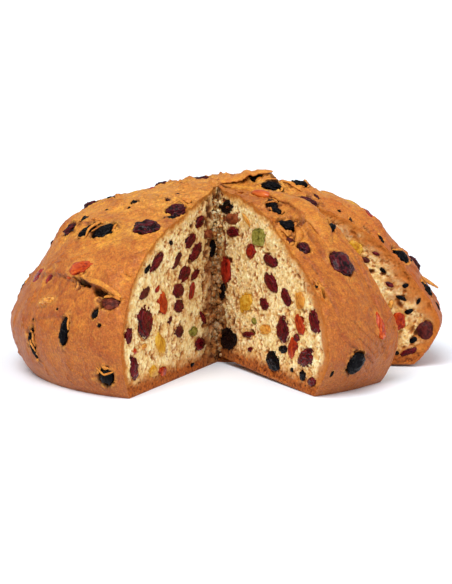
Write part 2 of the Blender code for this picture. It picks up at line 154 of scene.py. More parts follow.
# Smaller fruit that only scene.py makes: cut, reach, height, half sizes, turn, kind
SMALL_CUT_FRUIT = (
    ("L", 21.4, 77.4, 5.0, 2.9, -9, "raisin"), ("L", 33.0, 68.7, 6.4, 3.1, -17, "raisin"),
    ("L", 56.1, 70.5, 2.3, 1.2, 10, "raisin_burnt"), ("L", 83.0, 60.9, 3.3, 1.4, -30, "raisin_burnt"),
    ("L", 49.2, 60.5, 6.2, 2.0, -34, "raisin_brown"), ("L", 27.4, 50.6, 5.4, 1.9, -21, "raisin"),
    ("L", 31.4, 42.6, 4.5, 2.6, -64, "candied_red"), ("L", 86.5, 49.4, 5.6, 2.5, -17, "raisin_brown"),
    ("L", 71.9, 49.6, 2.4, 1.6, -27, "candied_red"), ("L", 103.6, 31.0, 4.2, 2.8, -81, "raisin"),
    ("L", 57.7, 31.6, 2.6, 1.6, -33, "raisin_brown"), ("L", 17.9, 26.4, 5.0, 2.0, 41, "raisin"),
    ("L", 47.1, 23.8, 4.7, 3.1, 4, "raisin_brown"), ("L", 29.6, 21.2, 4.8, 2.6, 12, "candied_green"),
    ("L", 77.0, 8.6, 4.8, 3.1, 13, "candied_yellow"), ("L", 66.1, 7.0, 4.0, 2.6, 4, "candied_orange"),
    ("L", 31.0, 4.0, 2.0, 1.0, -10, "raisin_burnt"), ("L", 10.6, 69.5, 5.2, 2.5, 8, "brown"),
    ("L", 87.4, 23.0, 2.8, 1.4, -8, "candied_amber"), ("L", 97.6, 22.4, 2.0, 1.4, 21, "candied_orange"),
    ("L", 5.0, 61.0, 4.4, 2.8, -70, "raisin_burnt"),
    # the hollow entries are no fruit: near-black sunk patches, painted shade of cavities in the crumb by the notch
    # corner
    ("R", 11.0, 83.6, 7.4, 3.4, 7, "hollow"), ("R", 16.4, 78.2, 6.8, 2.8, 7, "brown"),
    ("R", 17.2, 71.2, 6.6, 2.6, 7, "raisin"), ("R", 32.6, 79.2, 5.6, 1.5, -30, "candied_amber"),
    ("R", 36.1, 63.7, 4.4, 3.6, 26, "candied_red"), ("R", 9.6, 50.0, 7.6, 5.0, -84, "candied_red"),
    ("R", 51.0, 38.6, 4.6, 2.8, -16, "raisin"), ("R", 87.3, 45.6, 4.9, 4.6, 11, "candied_amber"), ("R", 52.0, 25.5, 5.6, 2.6, 10, "candied_amber"), ("R", 40.5, 28.2, 2.4, 1.8, 10, "candied_green"),
    ("R", 84.0, 26.4, 2.6, 1.9, -15, "raisin"), ("R", 33.6, 20.1, 5.8, 1.6, 10, "raisin"),
    ("R", 70.6, 18.4, 4.0, 2.1, 12, "raisin_burnt"), ("R", 90.6, 8.8, 3.3, 2.5, 23, "raisin_burnt"),
    ("R", 99.4, 7.2, 3.8, 2.4, 22, "raisin"), ("R", 36.3, 12.6, 2.6, 1.3, 12, "raisin"),
    ("R", 79.8, 9.6, 1.8, 1.2, 19, "raisin_burnt"), ("R", 12.6, 14.6, 8.8, 5.6, 16, "hollow"), ("R", 6.0, 38.5, 4.6, 2.6, 80, "hollow"),
    ("C", 83.5, 59.6, 2.1, 0.9, -24, "raisin"), ("C", 97.0, 36.5, 3.1, 1.2, -24, "raisin_burnt"),
    ("C", 101.4, 8.2, 4.8, 1.6, 22, "raisin"), ("C", 94.9, 7.4, 1.3, 1.1, 3, "raisin_burnt"),
    ("C", 106.0, 35.0, 1.9, 1.0, 60, "raisin_burnt"), ("C", 101.0, 29.5, 2.4, 1.3, 20, "raisin_burnt"),
    ("C", 90.5, 43.5, 2.6, 1.4, -30, "raisin"), ("C", 103.5, 14.5, 2.2, 1.4, 40, "raisin_burnt"),
    ("C", 87.0, 51.0, 2.0, 1.1, -40, "raisin_burnt"), ("C", 99.0, 43.0, 1.8, 1.2, 10, "raisin_burnt"),
    ("C", 78.0, 56.0, 2.4, 1.6, -20, "raisin_brown"), ("C", 91.5, 33.0, 2.2, 1.6, 70, "candied_amber"),
)
# host, azimuth, level, half sizes, turn, kind
SMALL_CRUST_FRUIT = (
    ("loaf", -72.5, 0.445, 4.7, 1.8, 150, "raisin_burnt"), ("loaf", -71.0, 0.690, 6.4, 3.6, 40, "cherry"),
    ("loaf", -60.0, 0.672, 5.8, 3.4, 60, "cherry"), ("loaf", -54.0, 0.742, 7.4, 2.4, 15, "candied_amber"),
    ("loaf", -33.2, 0.745, 2.8, 2.0, 80, "raisin_burnt"), ("loaf", -31.0, 0.775, 1.0, 0.9, 0, "raisin_burnt"),
    ("loaf", -47.5, 0.755, 0.8, 0.6, 0, "raisin_burnt"), ("loaf", -57.0, 0.800, 0.9, 0.8, 0, "raisin_burnt"),
    ("loaf", -66.5, 0.135, 1.8, 0.9, 0, "raisin"), ("loaf", -70.0, 0.275, 3.1, 1.7, 0, "raisin_burnt"),
    ("loaf", -76.5, 0.360, 1.4, 0.9, 0, "raisin_burnt"), ("loaf", -51.0, 0.200, 1.8, 0.9, 0, "raisin"),
    ("loaf", -65.5, 0.305, 1.0, 0.8, 0, "raisin_burnt"), ("loaf", 84.5, 0.41, 3.4, 1.2, 10, "raisin_burnt"),
    ("loaf", 84.5, 0.525, 3.4, 1.0, 40, "raisin_burnt"), ("loaf", 92.5, 0.645, 1.6, 0.7, 0, "raisin_burnt"),
    ("loaf", 88.5, 0.37, 1.0, 0.9, 0, "raisin_burnt"), ("loaf", 87.5, 0.268, 6.0, 3.0, 80, "raisin"),
    ("loaf", 96.0, 0.295, 3.1, 1.0, 20, "raisin"), ("loaf", 116.0, 0.135, 4.2, 2.4, 70, "raisin_burnt"),
    ("loaf", 88.0, 0.805, 3.0, 1.3, 90, "raisin_burnt"), ("loaf", 101.0, 0.79, 2.9, 1.0, 40, "raisin_burnt"),
    ("slice", 30.6, 0.465, 3.4, 2.1, 60, "raisin_brown"), ("slice", 50.0, 0.430, 3.7, 1.4, 15, "raisin"),
    ("slice", 51.0, 0.485, 2.6, 2.2, 0, "raisin_burnt"), ("slice", 41.0, 0.238, 4.6, 2.8, 60, "raisin_burnt"),
    ("slice", 36.8, 0.290, 4.4, 2.4, 105, "raisin_burnt"), ("slice", 46.5, 0.232, 3.0, 1.6, 120, "raisin_burnt"),
    ("slice", 29.4, 0.690, 2.4, 0.9, 70, "raisin_burnt"), ("slice", 29.2, 0.655, 2.4, 0.8, 60, "raisin_burnt"),
    ("slice", 30.0, 0.910, 2.1, 0.7, 90, "raisin_burnt"), ("slice", 54.0, 0.180, 1.6, 1.3, 0, "raisin_burnt"),
    ("loaf", -29.8, 0.247, 4.4, 3.2, 60, "raisin"), ("loaf", -30.2, 0.290, 3.2, 1.8, 20, "raisin_burnt"),
)
# Folds, ridges, cracks and stains of the crust: kind, height, width, (azimuth, level) ...
STROKES = (
    ("fold", 1.5, 7, ((-75.5, 0.505), (-70, 0.475), (-62, 0.432), (-55.5, 0.418), (-49.5, 0.422))),
    ("ridge", 1.6, 1.3, ((-57.4, 0.425), (-56.6, 0.45), (-56.4, 0.485))),
    ("fold", 2.1, 8, ((-69.5, 0.692), (-62, 0.672), (-56, 0.655), (-49.5, 0.655), (-43, 0.66), (-37.5, 0.66), (-32.5, 0.668), (-29.5, 0.68), (-26.5, 0.695))),
    ("fold", 1.3, 4, ((-58, 0.765), (-54, 0.757), (-50.6, 0.738))),
    ("fold", 1.2, 6, ((-59, 0.81), (-55, 0.795), (-50.5, 0.78), (-45.5, 0.77), (-41, 0.768))),
    ("groove", 1.2, 0.6, ((-28.5, 0.515), (-26.2, 0.497), (-24.4, 0.482))),
    ("groove", 0.7, 0.5, ((-29, 0.598), (-26.6, 0.605), (-25.0, 0.612))),
    ("ridge", 1.0, 3.2, ((-104, 0.38), (-83, 0.31), (-79, 0.26), (-64, 0.235), (-51.5, 0.21))),
    ("fold", 1.0, 5, ((-88, 0.20), (-63.5, 0.19), (-51.5, 0.165), (-48, 0.11))),
    ("ridge", 0.8, 2.4, ((-75.5, 0.385), (-66, 0.37), (-55, 0.39), (-45.5, 0.385))),
    ("ridge", 0.8, 2.6, ((-44, 0.425), (-37, 0.45), (-28, 0.485))),
    ("fold", 0.8, 4, ((-43, 0.26), (-36, 0.285), (-30, 0.31), (-26, 0.33))),
    ("stain", 0.7, 2.2, ((-62, 0.50), (-58, 0.53), (-54, 0.545))),
    ("stain", 0.6, 2.6, ((-45.5, 0.525), (-39.5, 0.545), (-34.5, 0.565))),
    ("stain", 0.5, 2.0, ((-38, 0.85), (-31.5, 0.85), (-25.5, 0.855))),
    ("stain", 0.7, 1.8, ((-50, 0.30), (-44, 0.32), (-38, 0.325))),
    ("fold", 2.2, 9, ((53, 0.12), (49.5, 0.20), (45.5, 0.29), (42.0, 0.38), (39.8, 0.46), (39.0, 0.53), (37.6, 0.59))),
    ("fold", 1.6, 7, ((57, 0.60), (54, 0.56), (51.5, 0.50), (52.5, 0.40), (55.5, 0.28))),
    ("ridge", 1.4, 3.0, ((49, 0.26), (46, 0.36), (44.5, 0.45), (45.5, 0.52))),
    ("fold", 1.2, 6, ((30, 0.50), (32, 0.58), (31.5, 0.68), (33, 0.77))),
    ("ridge", 0.9, 2.2, ((54.5, 0.24), (52.5, 0.34), (51, 0.43), (50.5, 0.52))),
    ("groove", 1.0, 0.6, ((50, 0.555), (49.5, 0.605), (48.2, 0.65))),
    ("ridge", 0.7, 1.6, ((50.8, 0.575), (49.4, 0.64), (45, 0.668))),
    ("fold", 1.4, 5, ((29.4, 0.765), (31.5, 0.79), (34.0, 0.82), (37.5, 0.845), (42.0, 0.875), (46.5, 0.915))),
    ("groove", 0.55, 0.6, ((33, 0.765), (37.5, 0.805), (42.0, 0.85), (47.0, 0.90))),
    ("groove", 0.5, 0.5, ((36, 0.755), (41, 0.80), (46, 0.85), (50.5, 0.90))),
    ("groove", 0.45, 0.5, ((41, 0.765), (45.5, 0.81), (49.5, 0.86), (53, 0.91))),
    ("groove", 0.4, 0.5, ((38, 0.875), (42.5, 0.915), (46.5, 0.95))),
    ("fold", 1.1, 5, ((54.5, 0.56), (53.0, 0.63), (51.2, 0.70), (50.6, 0.76))),
    ("groove", 1.4, 0.7, ((29.6, 0.625), (29.8, 0.665), (29.4, 0.705))),
    ("stain", 0.7, 2.4, ((41, 0.50), (40, 0.56), (40, 0.62), (41, 0.69))),
    ("stain", 0.6, 2.2, ((50, 0.69), (51.5, 0.74), (52.5, 0.80))),
    ("stain", 0.6, 2.8, ((34, 0.60), (35, 0.70), (37, 0.77))),
    ("fold", 2.4, 4.5, ((96, 0.175), (106, 0.185), (118, 0.178), (130, 0.165))),
    ("ridge", 1.6, 2.2, ((112, 0.11), (124, 0.115), (138, 0.12))),
    ("fold", 1.6, 5, ((84, 0.545), (86.5, 0.52), (90, 0.45), (94, 0.375), (98.5, 0.31))),
    ("fold", 1.2, 4, ((83, 0.595), (86.5, 0.635), (89, 0.665), (92, 0.70))),
    ("groove", 1.4, 0.9, ((84, 0.24), (89, 0.255), (95, 0.275))),
    ("groove", 1.0, 0.6, ((83, 0.475), (86, 0.49), (89, 0.50))),
    ("ridge", 1.4, 2.4, ((100, 0.62), (104, 0.68), (103, 0.75))),
)

# ---------------------------------------------------------------- small tools


def lattice(ix, iy, iz, seed):
    """A hash of whole numbers, as 32 mixed bits."""
    keep = np.uint64(0xFFFFFFFF)
    h = (ix.astype(np.int64) * 374761393 + iy.astype(np.int64) * 668265263 + iz.astype(np.int64) * 1440670441 + seed * 1274126177)
    h = h.astype(np.uint64) & keep
    h = ((h ^ (h >> np.uint64(13))) * np.uint64(1103515245)) & keep
    h = ((h ^ (h >> np.uint64(15))) * np.uint64(2246822519)) & keep
    return h ^ (h >> np.uint64(16))


def noise(p, seed=0):
    """Smooth gradient noise at the points p, about -1 to 1."""
    p = np.asarray(p, float)
    i = np.floor(p)
    f = p - i
    u = f * f * f * (f * (f * 6 - 15) + 10)
    i = i.astype(np.int64)
    total = np.zeros(p.shape[:-1])
    for dx in (0, 1):
        for dy in (0, 1):
            for dz in (0, 1):
                h = lattice(i[..., 0] + dx, i[..., 1] + dy, i[..., 2] + dz, seed)
                g = [((h >> np.uint64(s)) & np.uint64(1023)).astype(float) / 511.5 - 1 for s in (0, 10, 20)]
                w = 1.0
                for k, d in enumerate((dx, dy, dz)):
                    w = w * (u[..., k] if d else 1 - u[..., k])
                total += w * (g[0] * (f[..., 0] - dx) + g[1] * (f[..., 1] - dy) + g[2] * (f[..., 2] - dz))
    return total * 1.5


def fbm(p, octaves=3, seed=0, gain=0.5):
    total, size, reach = 0.0, 1.0, 0.0
    for k in range(octaves):
        total = total + size * noise(np.asarray(p) * 2.03**k, seed + 17 * k)
        reach += size
        size *= gain
    return total / reach


def ramp(x, a, b):
    t = np.clip((np.asarray(x, float) - a) / (b - a), 0, 1)
    return t * t * (3 - 2 * t)


def srgb(*rgb):
    """Linear colour of a colour given as it is seen, 0 to 255."""
    c = np.array(rgb, float) / 255
    return np.where(c <= 0.04045, c / 12.92, ((c + 0.055) / 1.055) ** 2.4)


def mix(a, b, t):
    t = np.asarray(t, float)[..., None]
    return a * (1 - t) + b * t


def hermite(t, t0, t1, p0, p1, m0, m1):
    h = t1 - t0
    s = (t - t0) / h
    return (2 * s**3 - 3 * s**2 + 1) * p0 + (s**3 - 2 * s**2 + s) * h * m0 + (3 * s**2 - 2 * s**3) * p1 + (s**3 - s**2) * h * m1


def slopes(t, p, axis=0):
    p = np.moveaxis(p, axis, 0)
    m = np.zeros_like(p)
    for i in range(1, len(t) - 1):
        before = (p[i] - p[i - 1]) / (t[i] - t[i - 1])
        after = (p[i + 1] - p[i]) / (t[i + 1] - t[i])
        w0, w1 = t[i + 1] - t[i], t[i] - t[i - 1]
        m[i] = (before * w0 + after * w1) / (w0 + w1)
    return np.moveaxis(m, 0, axis)


TURNS = np.concatenate([SECTIONS[-2:, 0] - 360, SECTIONS[:, 0], SECTIONS[:2, 0] + 360])
ROWS = np.concatenate([SECTIONS[-2:, 1:], SECTIONS[:, 1:], SECTIONS[:2, 1:]])
ROW_SLOPES = slopes(TURNS, ROWS)


def surface(azimuth, level):
    """Points of the smooth crust, in mm, for arrays of azimuth and level."""
    azimuth, level = np.broadcast_arrays(np.asarray(azimuth, float), np.asarray(level, float))
    a = (azimuth - SECTIONS[0, 0]) % 360 + SECTIONS[0, 0]
    i = np.clip(np.searchsorted(TURNS, a, side="right") - 1, 1, len(TURNS) - 3)
    s = hermite(a[..., None], TURNS[i][..., None], TURNS[i + 1][..., None], ROWS[i], ROWS[i + 1], ROW_SLOPES[i], ROW_SLOPES[i + 1])
    p = np.zeros((*azimuth.shape, 6, 2))
    p[..., 0, 1] = CREST_HEIGHT
    for k in range(4):
        p[..., k + 1, 0], p[..., k + 1, 1] = s[..., 2 * k], s[..., 2 * k + 1]
    p[..., 5, 0] = s[..., 8]
    m = slopes(LEVELS, p, axis=-2)
    start = p[..., 1, 0] / LEVELS[1]
    m[..., 0, 0] = start
    m[..., 0, 1] = -CREST_TILT * np.cos(np.radians(azimuth)) * start
    m[..., 5, :] = -110
    j = np.clip(np.searchsorted(LEVELS, level, side="right") - 1, 0, 4)

    def take(x, n):
        return np.take_along_axis(x, n[..., None, None].repeat(2, -1), -2)[..., 0, :]

    q = hermite(level[..., None], LEVELS[j][..., None], LEVELS[j + 1][..., None], take(p, j), take(p, j + 1), take(m, j), take(m, j + 1))
    t = np.radians(azimuth)
    return np.stack([AXIS[0] + q[..., 0] * np.sin(t), AXIS[1] - q[..., 0] * np.cos(t), np.maximum(q[..., 1], 0)], -1)


def crust_frame(azimuth, level):
    """Points, then the directions along the azimuth, up the section and out."""
    p = surface(azimuth, level)
    along = surface(azimuth + 0.4, level) - surface(azimuth - 0.4, level)
    along /= np.linalg.norm(along, axis=-1, keepdims=True)
    up = surface(azimuth, level - 0.006) - surface(azimuth, np.minimum(level + 0.006, 1.0))
    up -= along * (along * up).sum(-1, keepdims=True)
    up /= np.linalg.norm(up, axis=-1, keepdims=True)
    return p, along, up, np.cross(along, up)


def turn_between(a, b):
    return (a - b + 180) % 360 - 180


def lumps(azimuth, level, p):
    reach = np.hypot(p[..., 0] - AXIS[0], p[..., 1] - AXIS[1])
    fade = np.minimum(1.0, (1 - level) / 0.12)
    total = np.zeros(p.shape[:-1])
    for at, where, height, along, down in LUMPS:
        du = np.radians(turn_between(azimuth, at)) * reach / along
        dv = (level - where) * 160.0 / down
        total += height * fade * np.exp(-du * du - dv * dv)
    return total


def turned(along, up, out, turn):
    c, s = cos(radians(turn)), sin(radians(turn))
    return np.stack([along * c + up * s, up * c - along * s, out], axis=1)


# ------------------------------------------------------------ fruit to be made
class Fruit:
    def __init__(self, kind, half, frame, centre, seed, proud=None, where=""):
        self.kind, self.half, self.frame, self.centre = kind, np.array(half, float), frame, np.array(centre, float)
        self.seed, self.proud, self.where = seed, proud, where


CUTS = {  # cut: azimuth, sign of its outward direction round the bread, host
    "L": (NOTCH_LEFT, 1, "loaf"),
    "R": (NOTCH_RIGHT, -1, "slice"),
    "B": (SLICE_RIGHT, 1, "slice"),
    "C": (LOAF_RIGHT, -1, "loaf"),
}


def cut_frame(cut):
    azimuth, sign, _ = CUTS[cut]
    a = radians(azimuth)
    outward = np.array([sin(a), -cos(a), 0.0])
    normal = np.array([cos(a), sin(a), 0.0]) * sign
    return outward, np.array([0.0, 0.0, 1.0]), normal


def cut_fruit(cut, reach, height, length, width, turn, kind, seed):
    outward, up, normal = cut_frame(cut)
    centre = np.array([*AXIS, 0.0]) + outward * reach + up * height
    along, angle = (outward, turn) if cut in "RC" else (-outward, -turn)
    frame = turned(along, up, normal, angle)
    thick = min(width, 3.2)
    if cut in "RB":
        thick = min(thick, 0.20 * reach)
    return Fruit(kind, (length, width, thick), frame, centre, seed, proud=0.35, where=cut)


def crust_fruit(host, azimuth, level, length, width, thick, turn, kind, seed):
    """Fruit baked into the crust. Its depth is set when the crust is made."""
    p, along, up, out = crust_frame(np.array(float(azimuth)), np.array(float(level)))
    made = Fruit(kind, (length, width, thick), turned(along, up, out, turn), p, seed, where=host)
    made.spot = (azimuth, level)
    return made


fruits, owners = [], {}
for n, (name, row) in enumerate(CRUST_FRUIT.items()):
    fruits.append(crust_fruit(*row[:7], row[8], seed=n))
    owners[name] = row[-1]
for n, (name, row) in enumerate(CUT_FRUIT.items()):
    fruits.append(cut_fruit(*row, seed=50 + n))
    owners[name] = row[-1]
for n, row in enumerate(SMALL_CUT_FRUIT):
    fruits.append(cut_fruit(*row, seed=200 + n))
for n, (host, azimuth, level, length, width, turn, kind) in enumerate(SMALL_CRUST_FRUIT):
    fruits.append(crust_fruit(host, azimuth, level, length, width, max(0.9, min(width, 2.6)), turn, kind, seed=300 + n))
for f in fruits:  # candied orange in the crust is browned peel
    if f.kind == "candied_orange" and f.where in ("loaf", "slice"):
        f.kind = "peel"

# The back, and the slice's far cut, aren't shown in detail anywhere: the same
# kinds of fruit, scattered with a fixed seed.
rng = np.random.default_rng(41)
SHARES = (("raisin", 0.40), ("raisin_burnt", 0.26), ("raisin_brown", 0.08), ("candied_orange", 0.10), ("candied_yellow", 0.08), ("candied_red", 0.06), ("candied_green", 0.02))


def any_kind():
    return rng.choice([k for k, _ in SHARES], p=[w for _, w in SHARES])


placed, extra_pits, extra_torn = [], [], []
while len(placed) < 66:
    azimuth, level = rng.uniform(-252, -84), rng.uniform(0.14, 0.95)
    p = surface(np.array(azimuth), np.array(level))
    apart = rng.choice([6.5, 9.0, 15.0])
    if all(np.linalg.norm(p - q) > apart for q in placed) and all(np.linalg.norm(p - f.centre) > 12 for f in fruits[:24]):
        placed.append(p)
        length = 1.5 + 5.6 * rng.uniform() ** 1.5
        width, turn, kind = length * rng.uniform(0.42, 0.85), rng.uniform(0, 180), any_kind()
        fruits.append(crust_fruit("loaf", azimuth, level, length, width, min(width, 3.2), turn, kind, seed=400 + len(placed)))
        if kind.startswith("raisin") and length > 3 and rng.uniform() < 0.6:
            extra_pits.append(("loaf", azimuth + rng.uniform(-1.5, 1.5), level + 0.01, length * 1.3, width * 1.35, turn + rng.uniform(-25, 25), 1.8))
            extra_torn.append(("loaf", azimuth, level, length + 3.5, rng.uniform(0.5, 0.9)))
placed = []
tries = 0
while len(placed) < 30 and tries < 4000:
    tries += 1
    reach, height = rng.uniform(14, 96), rng.uniform(9, 80)
    if np.hypot(reach / 104, height / 88) < 0.93 and all(np.hypot(reach - q[0], height - q[1]) > 11.5 for q in placed):
        placed.append((reach, height))
        length = rng.uniform(2.6, 6.8)
        fruits.append(cut_fruit("B", reach, height, length, length * rng.uniform(0.45, 0.75), rng.uniform(0, 180), any_kind(), seed=500 + len(placed)))
# The part of the loaf's right-hand cut that the slice hides
placed = [(f.centre - np.array([*AXIS, 0])) @ cut_frame("C")[0] for f in fruits if f.where == "C"]
spots = [(r, (f.centre)[2]) for r, f in zip(placed, [f for f in fruits if f.where == "C"])]
tries = 0
while len(spots) < 26 and tries < 4000:
    tries += 1
    reach, height = rng.uniform(10, 74), rng.uniform(8, 74)
    if height + 0.35 * reach < 84 and all(np.hypot(reach - q[0], height - q[1]) > 12 for q in spots):
        spots.append((reach, height))
        length = rng.uniform(2.6, 6.4)
        fruits.append(cut_fruit("C", reach, height, length, length * rng.uniform(0.45, 0.75), rng.uniform(0, 180), any_kind(), seed=600 + len(spots)))

extra_strokes = []
for n in range(46):
    azimuth, level = rng.uniform(-248, -92), rng.uniform(0.12, 0.9)
    run, drift = rng.uniform(6, 16), rng.uniform(-0.05, 0.05)
    points = tuple((azimuth + run * k / 3, level + drift * k / 3 + rng.uniform(-0.008, 0.008)) for k in range(4))
    kind = rng.choice(["fold", "ridge", "groove", "stain"], p=[0.34, 0.22, 0.14, 0.30])
    height = {"fold": 1.1, "ridge": 0.9, "groove": 0.8, "stain": 0.6}[kind] * rng.uniform(0.7, 1.3)
    width = {"fold": 6, "ridge": 2.6, "groove": 0.7, "stain": 2.4}[kind]
    extra_strokes.append((kind, height, width, points))

# ------------------------------------------------------------------ the crust
LIGHT, PALE, GOLD, TAN = srgb(234, 174, 74), srgb(216, 149, 51), srgb(192, 114, 36), srgb(160, 84, 28)
BROWN, RED, DARK = srgb(118, 52, 22), srgb(132, 40, 16), srgb(36, 12, 8)
# Torn places: host, azimuth, level, radius, strength
TORN = (
    ("loaf", -43.0, 0.655, 7.0, 1.0), ("loaf", -32.5, 0.695, 6.0, 0.9), ("loaf", -58.5, 0.86, 7.0, 0.7),
    ("loaf", -31.0, 0.93, 6.0, 0.8), ("loaf", -60.0, 0.44, 10.0, 0.7), ("loaf", -72.0, 0.49, 7.0, 0.7),
    ("loaf", -56.0, 0.20, 7.0, 0.6), ("loaf", -38.5, 0.175, 8.0, 0.8), ("loaf", -30.0, 0.22, 6.0, 0.6),
    ("loaf", 112.0, 0.22, 12.0, 0.9), ("loaf", 98.0, 0.19, 9.0, 0.8), ("loaf", 133.0, 0.14, 9.0, 0.7),
    ("loaf", 88.0, 0.60, 9.0, 0.9), ("loaf", 86.0, 0.28, 9.0, 0.7), ("loaf", 100.0, 0.66, 7.0, 0.8),
    ("loaf", 87.0, 0.75, 8.0, 0.7), ("slice", 36.5, 0.25, 8.0, 0.9), ("slice", 35.0, 0.40, 7.0, 0.9),
    ("slice", 50.5, 0.46, 6.0, 0.8), ("slice", 29.5, 0.66, 5.0, 0.8), ("slice", 47.0, 0.13, 6.0, 0.6),
    ("loaf", -130.0, 0.33, 8.0, 0.7), ("loaf", -170.0, 0.52, 9.0, 0.7), ("loaf", -205.0, 0.28, 8.0, 0.7),
    ("loaf", -225.0, 0.62, 8.0, 0.7), ("loaf", -148.0, 0.74, 7.0, 0.6),
)
# Pits under lifted skin, painted dark as shade: host, azimuth, level, half length, half width, turn, depth
PITS = (
    ("slice", 34.8, 0.376, 8.4, 4.8, -35, 2.6), ("slice", 39.5, 0.250, 5.0, 3.4, -30, 2.0),
    ("slice", 32.5, 0.45, 4.5, 3.0, -40, 1.8), ("slice", 51.0, 0.465, 3.6, 3.2, 20, 1.8),
    ("slice", 29.6, 0.665, 5.5, 1.3, -75, 2.0), ("slice", 47.5, 0.215, 3.2, 1.3, -20, 1.4),
    ("loaf", 87.0, 0.275, 8.5, 2.6, 15, 2.4), ("loaf", 86.5, 0.60, 7.5, 5.0, 35, 2.2),
    ("loaf", 84.5, 0.475, 4.0, 1.2, 40, 1.6), ("loaf", 122.0, 0.145, 7.0, 2.6, 0, 2.6),
    ("loaf", 103.0, 0.17, 5.0, 2.2, 0, 1.8), ("loaf", 96.0, 0.185, 4.0, 2.0, 10, 1.8),
    ("loaf", -60.5, 0.462, 7.6, 3.0, 80, 1.4), ("loaf", -54.0, 0.440, 7.6, 4.4, 80, 1.4),
    ("loaf", -41.0, 0.66, 7.5, 1.5, -8, 2.2), ("loaf", -33.5, 0.68, 6.5, 1.8, -15, 2.6),
    ("loaf", -33.0, 0.235, 6.4, 4.2, 30, 2.0), ("loaf", -29.5, 0.262, 4.2, 2.6, -50, 2.4),
    ("loaf", -56.5, 0.85, 6.5, 2.6, 105, 1.8), ("loaf", -29.0, 0.93, 5.5, 4.0, 60, 1.8),
    ("loaf", -70.0, 0.275, 3.6, 2.0, 0, 1.4), ("loaf", 100.0, 0.70, 4.2, 2.2, 60, 1.6),
)
# Shreds of crust standing clear: host, half width, half thickness, (azimuth, level, height) ...
SHREDS = (
    ("loaf", 6.0, 0.9, ((160, 0.03, 0.6), (140, 0.075, 1.6), (126, 0.115, 2.4), (117, 0.15, 3.2), (112, 0.175, 3.8))),
    ("loaf", 1.8, 0.6, ((126, 0.225, 0.2), (114, 0.215, 1.0), (104, 0.225, 0.9), (96, 0.25, 0.2))),
    ("loaf", 2.6, 0.6, ((93.0, 0.705, 0.0), (95.0, 0.722, 0.8), (96.6, 0.748, 2.2), (97.2, 0.775, 3.6))),
    ("loaf", 0.7, 0.4, ((84.0, 0.572, 0.6), (86.0, 0.588, 2.2), (88.5, 0.60, 2.4), (91.0, 0.608, 0.6))),
    ("loaf", 1.2, 0.5, ((-59.2, 0.405, 0.3), (-57.6, 0.432, 2.6), (-57.2, 0.462, 2.6), (-57.4, 0.498, 0.3))),
    ("loaf", 0.8, 0.4, ((-65.5, 0.425, 0.3), (-63.0, 0.436, 2.2), (-61.0, 0.428, 2.6), (-58.6, 0.412, 0.6))),
    ("loaf", 0.8, 0.4, ((-40.0, 0.205, 0.4), (-36.6, 0.196, 2.2), (-32.4, 0.197, 2.0), (-28.4, 0.212, 0.3))),
    ("loaf", 2.4, 0.6, ((-41.5, 0.160, 0.2), (-37.0, 0.166, 1.6), (-32.5, 0.172, 1.6), (-28.5, 0.184, 0.3))),
    ("loaf", 1.6, 0.5, ((-41.5, 0.645, 0.2), (-37.0, 0.652, 1.4), (-33.0, 0.658, 1.8), (-29.0, 0.672, 1.2), (-26.5, 0.685, 0.2))),
    ("loaf", 0.6, 0.35, ((-31.5, 0.895, 0.4), (-29.0, 0.915, 1.6), (-26.4, 0.905, 0.4))),
    ("loaf", 0.6, 0.35, ((-58.0, 0.85, 0.3), (-56.3, 0.868, 1.3), (-54.8, 0.89, 0.3))),
    ("slice", 6.0, 1.7, ((54.5, 0.15, -1.2), (52.8, 0.22, 0.2), (50.2, 0.31, 0.7), (47.2, 0.41, 0.8), (45.6, 0.49, 0.2), (44.4, 0.55, -1.4))),
    ("slice", 2.2, 1.2, ((37.6, 0.405, -0.4), (37.2, 0.44, 0.8), (35.4, 0.465, 0.8), (33.0, 0.475, -0.3))),
    ("slice", 1.0, 0.5, ((30.2, 0.36, -0.2), (30.6, 0.40, 0.6), (31.6, 0.44, 0.3))),
    ("slice", 0.7, 0.4, ((37.0, 0.228, 0.3), (40.0, 0.247, 1.5), (43.0, 0.25, 0.3))),
    ("slice", 0.8, 0.4, ((28.6, 0.625, 0.2), (29.9, 0.66, 1.0), (29.2, 0.70, 0.2))),
    ("slice", 0.9, 0.4, ((49.0, 0.435, 0.2), (51.5, 0.452, 1.2), (52.5, 0.485, 0.9), (51.0, 0.51, 0.1))),
)


